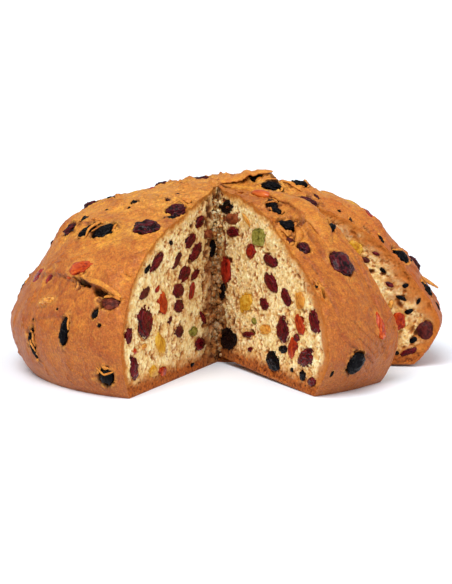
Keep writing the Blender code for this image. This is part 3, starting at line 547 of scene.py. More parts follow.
def stroke_shape(kind, height, width, points, p, out):
    """How far a stroke moves each point of the crust, and its stain and shade."""
    steps = np.linspace(0, len(points) - 1, 8 * (len(points) - 1) + 1)
    line = np.array(points, float)
    azimuth = np.interp(steps, range(len(points)), line[:, 0])
    level = np.interp(steps, range(len(points)), line[:, 1])
    for _ in range(6):
        azimuth[1:-1] = (azimuth[:-2] + 2 * azimuth[1:-1] + azimuth[2:]) / 4
        level[1:-1] = (level[:-2] + 2 * level[1:-1] + level[2:]) / 4
    path = surface(azimuth, level)
    reach = 3.2 * width + 3
    near = np.all((p > path.min(0) - reach) & (p < path.max(0) + reach), axis=-1)
    q, o = p[near], out[near]
    best, place, side = np.full(len(q), 1e9), np.zeros(len(q)), np.zeros(len(q))
    for k in range(len(path) - 1):
        d = path[k + 1] - path[k]
        t = np.clip(((q - path[k]) @ d) / (d @ d), 0, 1)
        away = q - path[k] - t[:, None] * d
        dist = np.linalg.norm(away, axis=1)
        closer = dist < best
        sign = np.sign((np.cross(d, away) * o).sum(1))
        best, place, side = np.where(closer, dist, best), np.where(closer, (k + t) / (len(path) - 1), place), np.where(closer, sign, side)
    jitter = 0.55 * noise(q / 3.1, 5) + 0.3 * noise(q / 1.3, 6)
    s = side * best + jitter
    taper = np.clip(np.minimum(place, 1 - place) / 0.16, 0, 1) ** 0.7
    taper = np.where(best > 3.2 * width, 0, taper)
    move, stain, shade = np.zeros(len(q)), np.zeros(len(q)), np.zeros(len(q))
    if kind == "fold":  # its upper side stands proud and drops off sharply
        move = height * ramp(s, -0.7, 0.4) * np.exp(-np.maximum(s, 0) / (0.6 * width)) * taper
        broken = ramp(noise(q / 4.5, 8), -0.25, 0.35)
        shade = 0.75 * np.exp(-(((s + 0.55) / 0.42) ** 2)) * taper * broken
        stain = np.exp(-(((s - 0.6) / 1.6) ** 2)) * taper * 0.6
    elif kind == "ridge":
        move = height * np.exp(-((s / width) ** 2)) * taper
        stain = np.exp(-((s / width) ** 2)) * taper * 0.5
    elif kind == "groove":
        move = -height * np.exp(-((s / width) ** 2)) * taper
        shade = 0.8 * min(height, 1.0) * np.exp(-((s / (0.7 * width)) ** 2)) * taper
    else:
        stain = height * np.exp(-((s / width) ** 2)) * taper * (0.7 + 0.5 * noise(q / 2.2, 9))
    total = [np.zeros(p.shape[:-1]) for _ in range(3)]
    for array, found in zip(total, (move, stain, shade)):
        array[near] = found
    return total


def ridged(p, seed):
    """Sharp branching lines: 1 on a line, 0 away from it."""
    return np.clip(1 - 3.2 * np.abs(noise(p, seed)), 0, 1)


def crust_relief(host, azimuth, level):
    """The crust before its fruit: points, outward directions, move, stain, shade."""
    p, along, up, out = crust_frame(azimuth, level)
    t = np.radians(azimuth)
    sideways = np.stack([np.cos(t), np.sin(t), np.zeros_like(t)], -1)
    out = out - sideways * (out * sideways).sum(-1, keepdims=True)  # stays in its own upright plane
    out /= np.linalg.norm(out, axis=-1, keepdims=True)
    fade = np.minimum(1.0, (1 - level) / 0.06)
    crown = 1 - ramp(level + 0.10 * fbm(p / 14, 2, 19), 0.20, 0.42)
    if host == "slice":
        crown = crown * 0.7
    n1, n2, n3, n4 = fbm(p / 24, 2, 1), fbm(p / 8, 3, 2), fbm(p / 2.8, 2, 3), noise(p / 1.3, 4)
    bent = p + 2.4 * np.stack([noise(p / 7, 14), noise(p / 7 + 9, 15), noise(p / 7 + 18, 16)], -1)
    crags = ridged(bent / 9.5, 17) * ramp(fbm(p / 13, 2, 27), -0.25, 0.3)
    crags2 = ridged(bent / 4.2, 18) * ramp(fbm(p / 9, 2, 28), -0.1, 0.35)
    move = lumps(azimuth, level, p) + fade * (0.9 * n1 + (0.66 + 0.5 * crown) * n2 + (0.24 + 0.32 * crown) * n3 + (0.09 + 0.08 * crown) * n4)
    move = move + fade * crown * (2.0 * crags**2 + 1.1 * crags2**2) + 0.9 * fade * (1 - crown) * crags**2
    # fine stretch marks that run down the sides
    marks = noise(np.stack([azimuth * 1.9, level * 5.5, azimuth * 0], -1), 12)
    marks_here = ramp(fbm(p / 17, 2, 13), -0.05, 0.35) * ramp(level, 0.25, 0.5)
    if host == "slice":
        marks_here = np.maximum(marks_here, ramp(azimuth, 36, 41) * ramp(level, 0.55, 0.7))
    move = move + (0.30 if host == "slice" else 0.18) * marks * marks_here * fade
    stain, shade = crown * (0.62 * crags**2 + 0.42 * crags2**2) + 0.35 * crags**2, np.zeros_like(move)
    stain = np.maximum(stain, 0.42 * ramp(marks, 0.10, 0.55) * marks_here)
    for kind, height, width, points in (*STROKES, *extra_strokes):
        on_slice = NOTCH_RIGHT <= points[len(points) // 2][0] <= SLICE_RIGHT
        if on_slice != (host == "slice"):
            continue
        m, e, d = stroke_shape(kind, height, width, points, p, out)
        move, stain, shade = move + m * fade, np.maximum(stain, e), np.maximum(shade, d)
    return p, out, move, stain, shade, (n1, n2, n3, crown, crags)


def bent_x(p):
    return p[..., 0] + 3.0 * noise(p / 9.0, 93)


def crust_sheet(host, azimuth, level):
    """Points and colours of the crust on a grid of azimuth and level."""
    p, out, move, stain, shade, (n1, n2, n3, crown, crags) = crust_relief(host, azimuth, level)
    base = p + out * move[..., None]
    fade = np.minimum(1.0, (1 - level) / 0.06)
    # torn places, where the skin has broken to a rough pale inside
    torn = np.zeros_like(move)
    for where, at, lev, radius, strength in (*TORN, *extra_torn):
        if where != host:
            continue
        c = surface(np.array(float(at)), np.array(float(lev)))
        away = np.linalg.norm(p - c, axis=-1) / radius + 0.55 * fbm(p / 3.2, 2, 41)
        torn = np.maximum(torn, strength * (1 - ramp(away, 0.55, 1.0)))
    shreds = fbm(p / 1.9, 2, 42)
    move = move + torn * fade * (1.5 * shreds - 0.30)
    # pits under lifted skin, with painted shade in them
    broken = 0.45 * noise(p / 3.6, 44) + 0.4 * noise(p / 1.6, 45)
    pit_shade = np.zeros_like(move)
    for where, at, lev, long, wide, turn, depth in (*PITS, *extra_pits):
        if where != host:
            continue
        c, a1, u1, o1 = crust_frame(np.array(float(at)), np.array(float(lev)))
        local = (p - c) @ turned(a1, u1, o1, turn)
        q = np.hypot(local[..., 0] / long, local[..., 1] / wide) + np.where(np.abs(local[..., 2]) > 12, 9, 0) + 0.55 * broken
        inside = 1 - ramp(q, 0.72, 1.02)
        move = move - depth * inside * fade + 0.7 * np.exp(-(((q - 1.14) / 0.16) ** 2)) * fade * ramp(broken, -0.4, 0.3)
        pit_shade = np.maximum(pit_shade, 1 - ramp(q, 0.80, 1.0))
    # pockets that the fruit sits in, with a ragged lip
    ragged = 0.5 * noise(p / 3.3, 20) + 0.5 * noise(p / 1.7, 21) + 0.25 * noise(p / 0.9, 22)
    lip_colour, scorch_and_crevice_shade = np.zeros_like(move), np.zeros_like(move)
    for f in fruits:
        if f.where != host:
            continue
        local = (base - f.centre) @ f.frame
        near = (np.abs(local[..., 0]) < f.half[0] * 2 + 4) & (np.abs(local[..., 1]) < f.half[1] * 2 + 4) & (np.abs(local[..., 2]) < 9)
        if not near.any():
            continue
        x, r, m = local[near], ragged[near], move[near]
        small = min(f.half[1], 3.0) / 3.0
        wild = {"raisin_burnt": 0.40, "raisin_brown": 0.30, "raisin": 0.12 if f.half[0] > 6.5 else 0.20}.get(f.kind, 0.25)
        q = np.hypot(x[:, 0] / (f.half[0] + 0.15), x[:, 1] / (f.half[1] + 0.15)) + wild * r
        if f.kind.startswith("candied") or f.kind in ("nut", "peel", "cherry"):
            m = m - 0.9 * small * (1 - ramp(q, 0.62, 1.0))
            glow = np.exp(-(((q - 1.05) / 0.22) ** 2)) * 0.5
        else:
            m = m - (0.9 + 1.2 * small) * (1 - ramp(q, 0.80, 1.06))
            m = m + 0.55 * small * np.exp(-(((q - 1.22) / 0.17) ** 2)) * ramp(r, -0.35, 0.4)
            glow = np.exp(-(((q - 1.2) / 0.2) ** 2)) * ramp(r, -0.3, 0.4) * 0.8
            # painted shade: the crust darkens in the crevice right round each dried fruit
            scorch_and_crevice_shade[near] = np.maximum(scorch_and_crevice_shade[near], (1 - ramp(q, 0.92, 1.12)) * 0.9)
        if f.kind == "raisin_burnt":
            # a scorched halo, broken by noise, round the burnt raisins
            scorch_and_crevice_shade[near] = np.maximum(scorch_and_crevice_shade[near], (1 - ramp(q + 0.5 * r, 0.9, 1.45)) * 0.55 * small)
        move[near] = m
        lip_colour[near] = np.maximum(lip_colour[near], glow)
    p = p + out * move[..., None]
    p[..., 2] = np.maximum(p[..., 2], 0)
    # colour: golden, deeper where the crust stands proud and round the crown
    tone = 0.48 + 0.34 * n1 + 0.46 * n2 + 0.34 * n3 + 0.12 * noise(p / 1.5, 38)
    tone = tone + 0.22 * ramp(level, 0.45, 0.75) - 0.25 * np.exp(-(((level - 0.42) / 0.10) ** 2))
    colour = mix(PALE, GOLD, ramp(tone, 0.05, 0.50))
    colour = mix(colour, TAN, ramp(tone, 0.42, 0.90))
    colour = mix(colour, BROWN, 0.55 * ramp(fbm(p / 11, 3, 31), 0.10, 0.55) * (0.40 + 0.40 * crown))
    colour = mix(colour, TAN, 0.60 * ramp(level, 0.66, 0.98))
    colour = mix(colour, RED, (0.40 + 0.30 * crown) * ramp(fbm(p / 5.5, 3, 33), 0.12, 0.5))
    colour = mix(colour, RED, np.clip(stain, 0, 1) * 0.80)
    lanes = np.stack([bent_x(p) / 8.5, p[..., 1] / 3.6, p[..., 2] / 1.5], -1)
    streak = ramp(fbm(lanes, 3, 91), 0.10, 0.42)
    colour = mix(colour, RED, streak * (0.14 + 0.40 * crown))
    colour = mix(colour, LIGHT, ramp(fbm(lanes + 30, 3, 92), 0.04, 0.40) * (0.06 + 0.54 * crown))
    colour = mix(colour, DARK, 0.5 * crown * ramp(noise(p / 2.1, 36), 0.38, 0.62))
    colour = mix(colour, BROWN, 0.5 * ramp(noise(p / 1.8, 39), 0.30, 0.62))
    specks = ramp(noise(p / 0.85, 35), 0.22, 0.55)
    colour = mix(colour, BROWN, 0.40 * specks)
    colour = mix(colour, LIGHT, (0.20 + 0.20 * crown) * ramp(noise(p / 0.9, 37), 0.18, 0.55))
    colour = mix(colour, LIGHT, np.clip(lip_colour, 0, 1) * 0.6)
    colour = mix(colour, DARK, np.clip(shade, 0, 1) * 0.85)
    # the torn inside is pale, with painted shade in its low places
    inside = mix(mix(LIGHT, GOLD, ramp(-shreds, -0.4, 0.0)), DARK, ramp(-shreds, -0.05, 0.30))
    colour = mix(colour, inside, np.clip(torn, 0, 1) * 0.85)
    # painted shade in the crevices round dried fruit, and the scorched halo round burnt raisins
    colour = mix(colour, DARK * 0.6, np.clip(scorch_and_crevice_shade, 0, 1))
    # painted shade: the pits go near-black, reddish in places
    colour = mix(colour, mix(DARK * 0.5, RED * 0.6, ramp(n3, 0.1, 0.5)), pit_shade * 0.95)
    if host == "slice":
        colour = mix(colour, TAN, 0.30 + 0.26 * (1 - ramp(level, 0.35, 0.6)))
    else:
        # a paler crown, and a painted highlight on it that grows towards the left, where the key light falls
        colour = mix(colour, LIGHT, (0.15 + 0.16 * ramp(-p[..., 0], 0, 40)) * crown * (1 - np.clip(np.maximum(scorch_and_crevice_shade, pit_shade), 0, 1)))
        colour = mix(colour, srgb(172, 82, 26), (0.12 + 0.46 * ramp(p[..., 0], 22, 62)) * ramp(-p[..., 1], -60, 10) * (1 - pit_shade))
    return p, colour


def underside_height(host, azimuth, share):
    if host == "slice":
        return SLICE_TIP_LIFT * (1 - share) ** 1.2
    near = np.exp(-((turn_between(azimuth, LOAF_RIGHT + 4) / 14.0) ** 2))
    return RIM_LIFT * near * share**2


def make_object(name, points, faces, colours, material, sharp=50):
    """A closed mesh from points in mm. faces is a list of arrays or index lists."""
    flat = []
    for group in faces:
        flat.extend(group.tolist() if isinstance(group, np.ndarray) else group)
    mesh = bpy.data.meshes.new(name)
    mesh.from_pydata((points * MM).tolist(), [], flat)
    mesh.update()
    layer = mesh.color_attributes.new("tint", "FLOAT_COLOR", "POINT")
    rgba = np.ones((len(points), 4), np.float32)
    rgba[:, :3] = np.clip(colours, 0, 1)
    layer.data.foreach_set("color", rgba.ravel())
    mesh.shade_smooth()
    if sharp:
        mesh.set_sharp_from_angle(angle=radians(sharp))
    mesh.materials.append(material)
    obj = bpy.data.objects.new(name, mesh)
    bpy.context.scene.collection.objects.link(obj)
    return obj


def plane_coordinates(points, azimuth):
    a = radians(azimuth)
    outward = np.array([sin(a), -cos(a), 0.0])
    return np.stack([(points - np.array([*AXIS, 0])) @ outward, points[..., 2]], -1)


def crust_body(host, azimuths, levels, inner):
    """Closed body of the loaf or the slice. Its cuts are sunk, for the crumb."""
    grid_a, grid_l = np.meshgrid(azimuths, levels, indexing="ij")
    p, colour = crust_sheet(host, grid_a, grid_l)
    columns, rows = grid_a.shape
    foot = surface(azimuths, np.ones(columns))
    shares = np.linspace(1, 0, 10)[1:]
    radial = foot[:, None, :2] - AXIS
    reach = np.linalg.norm(radial, axis=-1)
    r = np.maximum(reach * shares[None, :], inner)
    under = np.zeros((columns, len(shares), 3))
    t = np.radians(azimuths)[:, None]
    under[..., 0], under[..., 1] = AXIS[0] + r * np.sin(t), AXIS[1] - r * np.cos(t)
    under[..., 2] = underside_height(host, azimuths[:, None], shares[None, :])
    if host == "loaf":  # the rim's lift fades up the side
        p[..., 2] += underside_height(host, grid_a, np.ones_like(grid_a)) * np.clip((grid_l - 0.8) / 0.2, 0, 1)
    loop = np.concatenate([p, under], axis=1)
    bottom = mix(BROWN, TAN, 0.5 + 0.5 * fbm(under / 9, 3, 51))
    tint = np.concatenate([colour, bottom], axis=1)
    if host == "slice":
        tint[:, 0], tint[:, -1] = srgb(74, 36, 18), srgb(52, 24, 14)
    size = loop.shape[1]
    index = np.arange(columns * size).reshape(columns, size)
    follow = np.roll(index, -1, axis=1)
    quads = np.stack([index[:-1], follow[:-1], follow[1:], index[1:]], -1).reshape(-1, 4)
    points, tints, faces = [loop.reshape(-1, 3)], [tint.reshape(-1, 3)], [quads]
    count = columns * size
    edges = {}
    for column, flip in ((0, False), (columns - 1, True)):
        azimuth = azimuths[column]
        flat = plane_coordinates(loop[column], azimuth)
        edges[column] = flat[:rows]
        run = np.roll(flat, -1, axis=0) - np.roll(flat, 1, axis=0)
        run /= np.linalg.norm(run, axis=1, keepdims=True) + 1e-9
        inwards = np.stack([run[:, 1], -run[:, 0]], -1)
        if (inwards[rows // 2] @ (np.array([40.0, 30.0]) - flat[rows // 2])) < 0:
            inwards = -inwards
        inset = flat + inwards * 1.1
        inset[0], inset[-1] = (inner + 0.03, flat[0, 1] - 1.0), (inner + 0.03, flat[-1, 1] + 1.0)
        inset[:, 0] = np.maximum(inset[:, 0], inner + 0.02)
        a = radians(azimuth)
        outward, side = np.array([sin(a), -cos(a), 0.0]), np.array([cos(a), sin(a), 0.0])
        into = side if column == 0 else -side
        ring = np.array([*AXIS, 0]) + inset[:, :1] * outward + inset[:, 1:] * np.array([0, 0, 1.0])
        depth = np.minimum(2.6, 0.18 * inset[:, :1]) if host == "slice" else 2.6
        sunk = ring + into * depth
        here = index[column]
        first, second = count + np.arange(size), count + size + np.arange(size)
        points += [ring, sunk]
        ring_tint = mix(srgb(66, 32, 16), mix(TAN, GOLD, 0.5 + 0.5 * noise(ring / 2.0, 55)), ramp(inset[:, 0], 3, 8))
        tints += [ring_tint, np.repeat(BROWN[None], size, 0)]
        for a0, b0 in ((here, first), (first, second)):
            band = np.stack([a0, b0, np.roll(b0, -1), np.roll(a0, -1)], -1)
            faces.append(band if flip else band[:, ::-1])
        faces.append([list(second if flip else second[::-1])])
        count += 2 * size
    return np.concatenate(points), faces, np.concatenate(tints), edges


# ------------------------------------------------------------------ the crumb
CREAM, CRUMB, OLD = srgb(255, 243, 196), srgb(238, 208, 140), srgb(208, 158, 86)
PORE, DEEP = srgb(176, 98, 32), srgb(62, 22, 10)


def outline_distance(points, path):
    """Distance from the crust's outline, plus inside the bread."""
    centre = np.array([40.0, 30.0])
    rel, own = points - centre, path - centre
    angle, radius = np.arctan2(rel[..., 1], rel[..., 0]), np.linalg.norm(rel, axis=-1)
    path_angle, path_radius = np.unwrap(np.arctan2(own[:, 1], own[:, 0])), np.linalg.norm(own, axis=1)
    order = np.argsort(path_angle)
    edge = np.interp(angle, path_angle[order], path_radius[order])
    beyond = (angle > path_angle.max()) | (angle < path_angle.min())
    found = np.where(beyond, 50.0, edge - radius)
    near = (np.abs(found) < 12) & ~beyond
    q = points[near]
    best = np.full(len(q), 1e9)
    for k in range(0, len(path) - 1):
        d = path[k + 1] - path[k]
        t = np.clip(((q - path[k]) @ d) / (d @ d + 1e-12), 0, 1)
        best = np.minimum(best, np.linalg.norm(q - path[k] - t[:, None] * d, axis=1))
    found[near] = np.where(found[near] >= 0, best, -best)
    return found


def crumb_slab(cut, path, cell, seed):
    """A closed slab of crumb with open pores, set into the bread at a cut."""
    azimuth, sign, host = CUTS[cut]
    outward, up, normal = cut_frame(cut)
    inner = SLICE_TIP - 0.35 if host == "slice" else 0.12
    rho = np.arange(inner, path[:, 0].max() + 1, cell)
    high = np.arange(0.0, path[:, 1].max() + 1, cell)
    r, z = np.meshgrid(rho, high, indexing="ij")
    foot = path[-1, 0]
    floor = underside_height(host, azimuth, np.clip(r / foot, 0, 1))
    edge = outline_distance(np.stack([r, z], -1), path)
    rim = edge - 0.45
    base = z - floor - 0.45
    inside = np.minimum(rim, base)
    flat3 = np.stack([r, z, np.full_like(r, 7.0 * seed)], -1)
    if host == "slice":  # a ragged tip
        inside = np.minimum(inside, r - 1.5 - 1.3 * fbm(flat3 / 3.0, 3, seed + 40))
    # a slow unevenness and the grain of the crumb
    limit = np.minimum(2.1, 0.15 * r) if host == "slice" else np.full_like(r, 2.1)
    grain = fbm(flat3 / 1.15, 3, seed + 3)
    cells = ridged(flat3 / 2.1 + 0.5 * noise(flat3 / 2.6, seed + 30)[..., None], seed + 31)
    relief = 0.45 * fbm(flat3 / 11, 2, seed) + 0.34 * fbm(flat3 / 3.2, 3, seed + 1) + 0.34 * grain + 0.16 * cells
    relief = relief * np.clip(inside / 3.0, 0, 1)
    # pores: many small ones, few large
    dice = np.random.default_rng(seed)
    pore = np.zeros_like(r)
    tall = path[:, 1].max()
    count = int(1.35 * foot * tall * 0.75)
    crowd = fbm(flat3 / 13, 2, seed + 20)
    mottle = fbm(flat3 / 4.2, 3, seed + 21)
    warp_r, warp_z = 0.42 * noise(flat3 / 0.9, seed + 5), 0.42 * noise(flat3 / 0.9 + 40, seed + 6)
    for n in range(count):
        cr, cz = dice.uniform(inner, foot + 8), dice.uniform(1.5, tall)
        size = float(np.clip(dice.lognormal(-1.05, 0.45), 0.20, 1.7))
        if cr < (18 if cut == "L" else 9) and dice.uniform() < 0.12:
            size = dice.uniform(0.8, 1.9)
        stretch, angle = dice.uniform(1.0, 2.3), dice.uniform(0, np.pi)
        i0, i1 = np.searchsorted(rho, [cr - size * 2.4 - 0.5, cr + size * 2.4 + 0.5])
        j0, j1 = np.searchsorted(high, [cz - size * 2.4 - 0.5, cz + size * 2.4 + 0.5])
        if i1 <= i0 or j1 <= j0 or (size < 1 and dice.uniform() > 0.56 + 0.9 * crowd[i0, j0]):
            continue
        x = r[i0:i1, j0:j1] + warp_r[i0:i1, j0:j1] - cr
        y = z[i0:i1, j0:j1] + warp_z[i0:i1, j0:j1] - cz
        u, v = x * cos(angle) + y * sin(angle), y * cos(angle) - x * sin(angle)
        q = np.hypot(u / (size * stretch), v / size)
        depth = min(size * 1.25, 2.1) * np.sqrt(np.clip(1 - q * q, 0, 1))
        pore[i0:i1, j0:j1] = np.maximum(pore[i0:i1, j0:j1], depth)
    pore = pore * np.clip(inside / 1.6, 0, 1)
    sunk, gap = np.zeros_like(r), np.zeros_like(r)
    near_fruit, halo = np.full_like(r, 9.0), np.zeros_like(r)
    for f in fruits:
        if f.where != cut:
            continue
        at = np.array([(f.centre - np.array([*AXIS, 0])) @ outward, f.centre[2]])
        axis = np.array([f.frame[:, 0] @ outward, f.frame[2, 0]])
        x, y = r - at[0], z - at[1]
        u, v = x * axis[0] + y * axis[1], y * axis[0] - x * axis[1]
        q = np.hypot(u / f.half[0], v / f.half[1]) + 0.08 * noise(flat3 / 2.4, 61)
        near_fruit = np.minimum(near_fruit, (q - 1) * min(f.half[1], 4))
        sunk = np.maximum(sunk, (1 - ramp(q, 0.55, 0.86)) * 1.2)
        if f.kind in ("candied_yellow", "candied_amber", "candied_orange"):
            halo = np.maximum(halo, 1 - ramp(q, 1.0, 1.6))
        else:  # a dried fruit shrinks away from the crumb on one side
            way = np.cos(np.arctan2(v / f.half[1], u / f.half[0]) - f.seed * 2.4)
            thin = 0.45 / min(f.half[1], 4)
            gap = np.maximum(gap, np.exp(-(((q - 1.02) / thin) ** 2)) * ramp(way, 0.1, 0.8) * min(0.9, 0.3 * f.half[1]))
    depth = np.minimum(np.maximum(np.maximum(pore, sunk), gap), limit)
    level = np.maximum(relief - depth + 0.03, -limit)
    place = np.array([*AXIS, 0]) + r[..., None] * outward + z[..., None] * up + level[..., None] * normal
    # colour
    tone = 0.5 + 0.55 * fbm(flat3 / 6.5, 3, seed + 8) - 0.75 * grain
    colour = mix(CREAM, CRUMB, ramp(tone, 0.05, 0.50))
    colour = mix(colour, OLD, 0.95 * ramp(tone, 0.45, 0.95))
    colour = mix(colour, CREAM, 0.5 * cells**2 * (1 - ramp(tone, 0.6, 1.0)))
    colour = mix(colour, srgb(208, 148, 72), (0.75 if cut == "C" else 0.58) * ramp(mottle, -0.05, 0.40))
    crumbs = fbm(flat3 / 1.7, 2, seed + 22)
    colour = mix(colour, srgb(162, 78, 24), 0.70 * ramp(crumbs, 0.14, 0.44) * ramp(crowd + 0.6 * mottle, -0.30, 0.25))
    colour = mix(colour, CREAM, 0.55 * ramp(-crumbs, 0.10, 0.40) * (1 - ramp(mottle, 0.0, 0.4)))
    if cut == "C":
        colour = mix(colour, srgb(178, 112, 56), 0.16 + 0.62 * ramp(fbm(flat3 / 5.0, 3, seed + 25), -0.12, 0.30))
    # painted shade: the pores, and the gaps where dried fruit shrinks from the crumb, darken with their depth
    pore_shade = np.minimum(np.maximum(pore, gap), limit)
    colour = mix(colour, PORE, ramp(pore_shade, 0.12, 0.75) * 0.85)
    colour = mix(colour, DEEP, ramp(pore_shade, 0.7, 1.8) * 0.85)
    colour = mix(colour, srgb(222, 176, 84), halo * 0.40)
    # painted shade along the crevice round each fruit
    colour = mix(colour, PORE, (1 - ramp(np.abs(near_fruit), 0.0, 0.8)) * 0.35)
    wobble = 1.1 * fbm(flat3 / 2.4, 2, seed + 11) + 1.3 * fbm(flat3 / 7.5, 2, seed + 12)
    colour = mix(colour, srgb(214, 150, 70), (1 - ramp(edge + 1.5 * wobble, 1.6, 6.0)) * 0.8)
    colour = mix(colour, mix(GOLD, TAN, 0.5 + 0.9 * grain), 1 - ramp(edge + 1.2 * wobble, 0.7, 2.9))
    low = z - floor
    sides = 1 - ramp(edge + 1.6 * wobble, {"L": 2.0, "C": 2.5}.get(cut, 4.0), {"L": 5.2, "C": 11.5}.get(cut, 8.6))
    tall_sides = {"L": 62, "C": 92}.get(cut, 74)
    colour = mix(colour, mix(srgb(190, 108, 42), TAN, 0.5 + grain), sides * (1 - ramp(z + 5 * wobble, tall_sides - 28, tall_sides)) * 0.88)
    colour = mix(colour, srgb(196, 126, 56), (1 - ramp(low + 2.0 * wobble, 4.0, 13.0)) * 0.8)
    colour = mix(colour, mix(srgb(186, 98, 34), BROWN, 0.42 + 1.3 * grain), (1 - ramp(low + 1.6 * wobble, 3.4, 8.4)) * 0.95)
    colour = mix(colour, DEEP, (1 - ramp(low + 1.6 * wobble, 4.0, 10.0)) * ramp(crumbs, 0.12, 0.4) * 0.8)
    # painted shade in the notch corner by the axis, strongest low on the left cut
    corner_shade = (1 - ramp(r + 7 * wobble, 3, 24)) * (0.80 * ramp(74 - z, 0, 26) + 0.12 if cut == "L" else 0.10)
    colour = mix(colour, mix(srgb(166, 104, 56), srgb(84, 42, 22), ramp(crumbs + 0.5 * grain, -0.1, 0.5)), corner_shade)
    # painted shade at the slice's tip in the notch corner, and low down near the tip, where the lifted slice shades its
    # crumb
    if host == "slice":
        tip = 1 - ramp(r + 3.0 * wobble, 2.0, 8.0 if cut == "R" else 5.0)
        colour = mix(colour, mix(srgb(158, 96, 44), srgb(56, 24, 14), ramp(crumbs + 0.5 * grain, -0.15, 0.3)), tip * 0.85)
        colour = mix(colour, mix(srgb(150, 86, 38), DEEP, ramp(crumbs + 0.5 * grain, 0.0, 0.4)), (1 - ramp(r + 5 * wobble, 10, 26)) * (1 - ramp(z + 4 * wobble, 14, 30)) * 0.75)
    # keep the cells inside the outline, without corners that only touch
    keep = np.minimum(np.minimum(inside[:-1, :-1], inside[1:, :-1]), np.minimum(inside[:-1, 1:], inside[1:, 1:])) > -0.18
    for _ in range(3):
        a, b, c, d = keep[:-1, :-1], keep[1:, :-1], keep[:-1, 1:], keep[1:, 1:]
        bad = (a & d & ~b & ~c) | (b & c & ~a & ~d)
        if not bad.any():
            break
        keep[:-1, :-1][bad] = False
        keep[1:, :-1][bad] = False
    number = np.arange(r.size).reshape(r.shape)
    quads = np.stack([number[:-1, :-1], number[1:, :-1], number[1:, 1:], number[:-1, 1:]], -1)[keep]
    used, quads = np.unique(quads, return_inverse=True)
    quads = quads.reshape(-1, 4)
    front, tints = place.reshape(-1, 3)[used], colour.reshape(-1, 3)[used]
    starts, ends = quads.ravel(), np.roll(quads, -1, axis=1).ravel()
    forward = set(zip(starts.tolist(), ends.tolist()))
    after = {a: b for a, b in forward if (b, a) not in forward}
    loops = []
    while after:
        first = next(iter(after))
        loop, here = [first], after.pop(first)
        while here != first:
            loop.append(here)
            here = after.pop(here)
        loops.append(loop)
    loop = max(loops, key=len)
    if len(loops) > 1:
        print(f"crumb {cut}: {len(loops) - 1} stray loops, the largest of {sorted(map(len, loops))[-2]} points")
    back = front[loop].copy()
    reach = (back - np.array([*AXIS, 0])) @ outward
    level_back = -(np.minimum(3.2, 0.2 * reach + 0.02) if host == "slice" else np.full(len(loop), 3.2))
    back += (level_back - (back - np.array([*AXIS, 0])) @ normal)[:, None] * normal
    numbers = len(front) + np.arange(len(loop))
    ring = np.array(loop)
    walls = np.stack([ring, numbers, np.roll(numbers, -1), np.roll(ring, -1)], -1)
    faces = [quads, walls, [numbers.tolist()]]
    if sign > 0:
        faces = [quads[:, ::-1], walls[:, ::-1], [numbers[::-1].tolist()]]
    points = np.concatenate([front, back])
    return points, faces, np.concatenate([tints, np.repeat(PORE[None], len(loop), 0)])


# ------------------------------------------------------------------ the fruit
def icosphere(depth):
    g = (1 + 5**0.5) / 2
    v = [(-1, g, 0), (1, g, 0), (-1, -g, 0), (1, -g, 0), (0, -1, g), (0, 1, g), (0, -1, -g), (0, 1, -g), (g, 0, -1), (g, 0, 1), (-g, 0, -1), (-g, 0, 1)]
    f = [(0, 11, 5), (0, 5, 1), (0, 1, 7), (0, 7, 10), (0, 10, 11), (1, 5, 9), (5, 11, 4), (11, 10, 2), (10, 7, 6), (7, 1, 8),
         (3, 9, 4), (3, 4, 2), (3, 2, 6), (3, 6, 8), (3, 8, 9), (4, 9, 5), (2, 4, 11), (6, 2, 10), (8, 6, 7), (9, 8, 1)]
    v = [np.array(p, float) / np.linalg.norm(p) for p in v]
    for _ in range(depth):
        middle, grown = {}, []

        def between(a, b):
            key = (min(a, b), max(a, b))
            if key not in middle:
                m = v[a] + v[b]
                v.append(m / np.linalg.norm(m))
                middle[key] = len(v) - 1
            return middle[key]

        for a, b, c in f:
            ab, bc, ca = between(a, b), between(b, c), between(c, a)
            grown += [(a, ab, ca), (b, bc, ab), (c, ca, bc), (ab, bc, ca)]
        f = grown
    return np.array(v), np.array(f)


BALLS = {depth: icosphere(depth) for depth in (1, 2, 3, 4)}
# on dried fruit the crease colour is painted shade and the raised-parts colour a painted highlight; other fruit uses
# the three as its own range of colour
FRUIT_COLOURS = {  # creases, body, raised parts
    "raisin": (srgb(24, 2, 6), srgb(94, 12, 20), srgb(158, 38, 36)),
    "raisin_burnt": (srgb(2, 2, 3), srgb(8, 5, 9), srgb(34, 18, 22)),
    "raisin_brown": (srgb(40, 8, 8), srgb(82, 22, 18), srgb(118, 44, 32)),
    # hollow: painted shade of a cavity, not a fruit
    "hollow": (srgb(6, 3, 4), srgb(24, 12, 12), srgb(60, 30, 24)),
    "brown": (srgb(84, 32, 16), srgb(132, 62, 34), srgb(170, 98, 58)),
    "candied_orange": (srgb(104, 18, 6), srgb(158, 40, 12), srgb(204, 86, 28)),
    "candied_amber": (srgb(150, 84, 26), srgb(206, 134, 50), srgb(232, 176, 84)),
    "candied_yellow": (srgb(168, 104, 20), srgb(198, 140, 32), srgb(226, 182, 72)),
    "candied_red": (srgb(76, 8, 8), srgb(134, 24, 16), srgb(184, 54, 28)),
    "candied_green": (srgb(74, 70, 22), srgb(126, 118, 44), srgb(170, 164, 84)),
    "nut": (srgb(110, 34, 8), srgb(178, 68, 16), srgb(216, 112, 38)),
    "peel": (srgb(116, 30, 8), srgb(172, 56, 14), srgb(206, 98, 32)),
    "cherry": (srgb(58, 8, 10), srgb(128, 22, 20), srgb(170, 44, 34)),
}


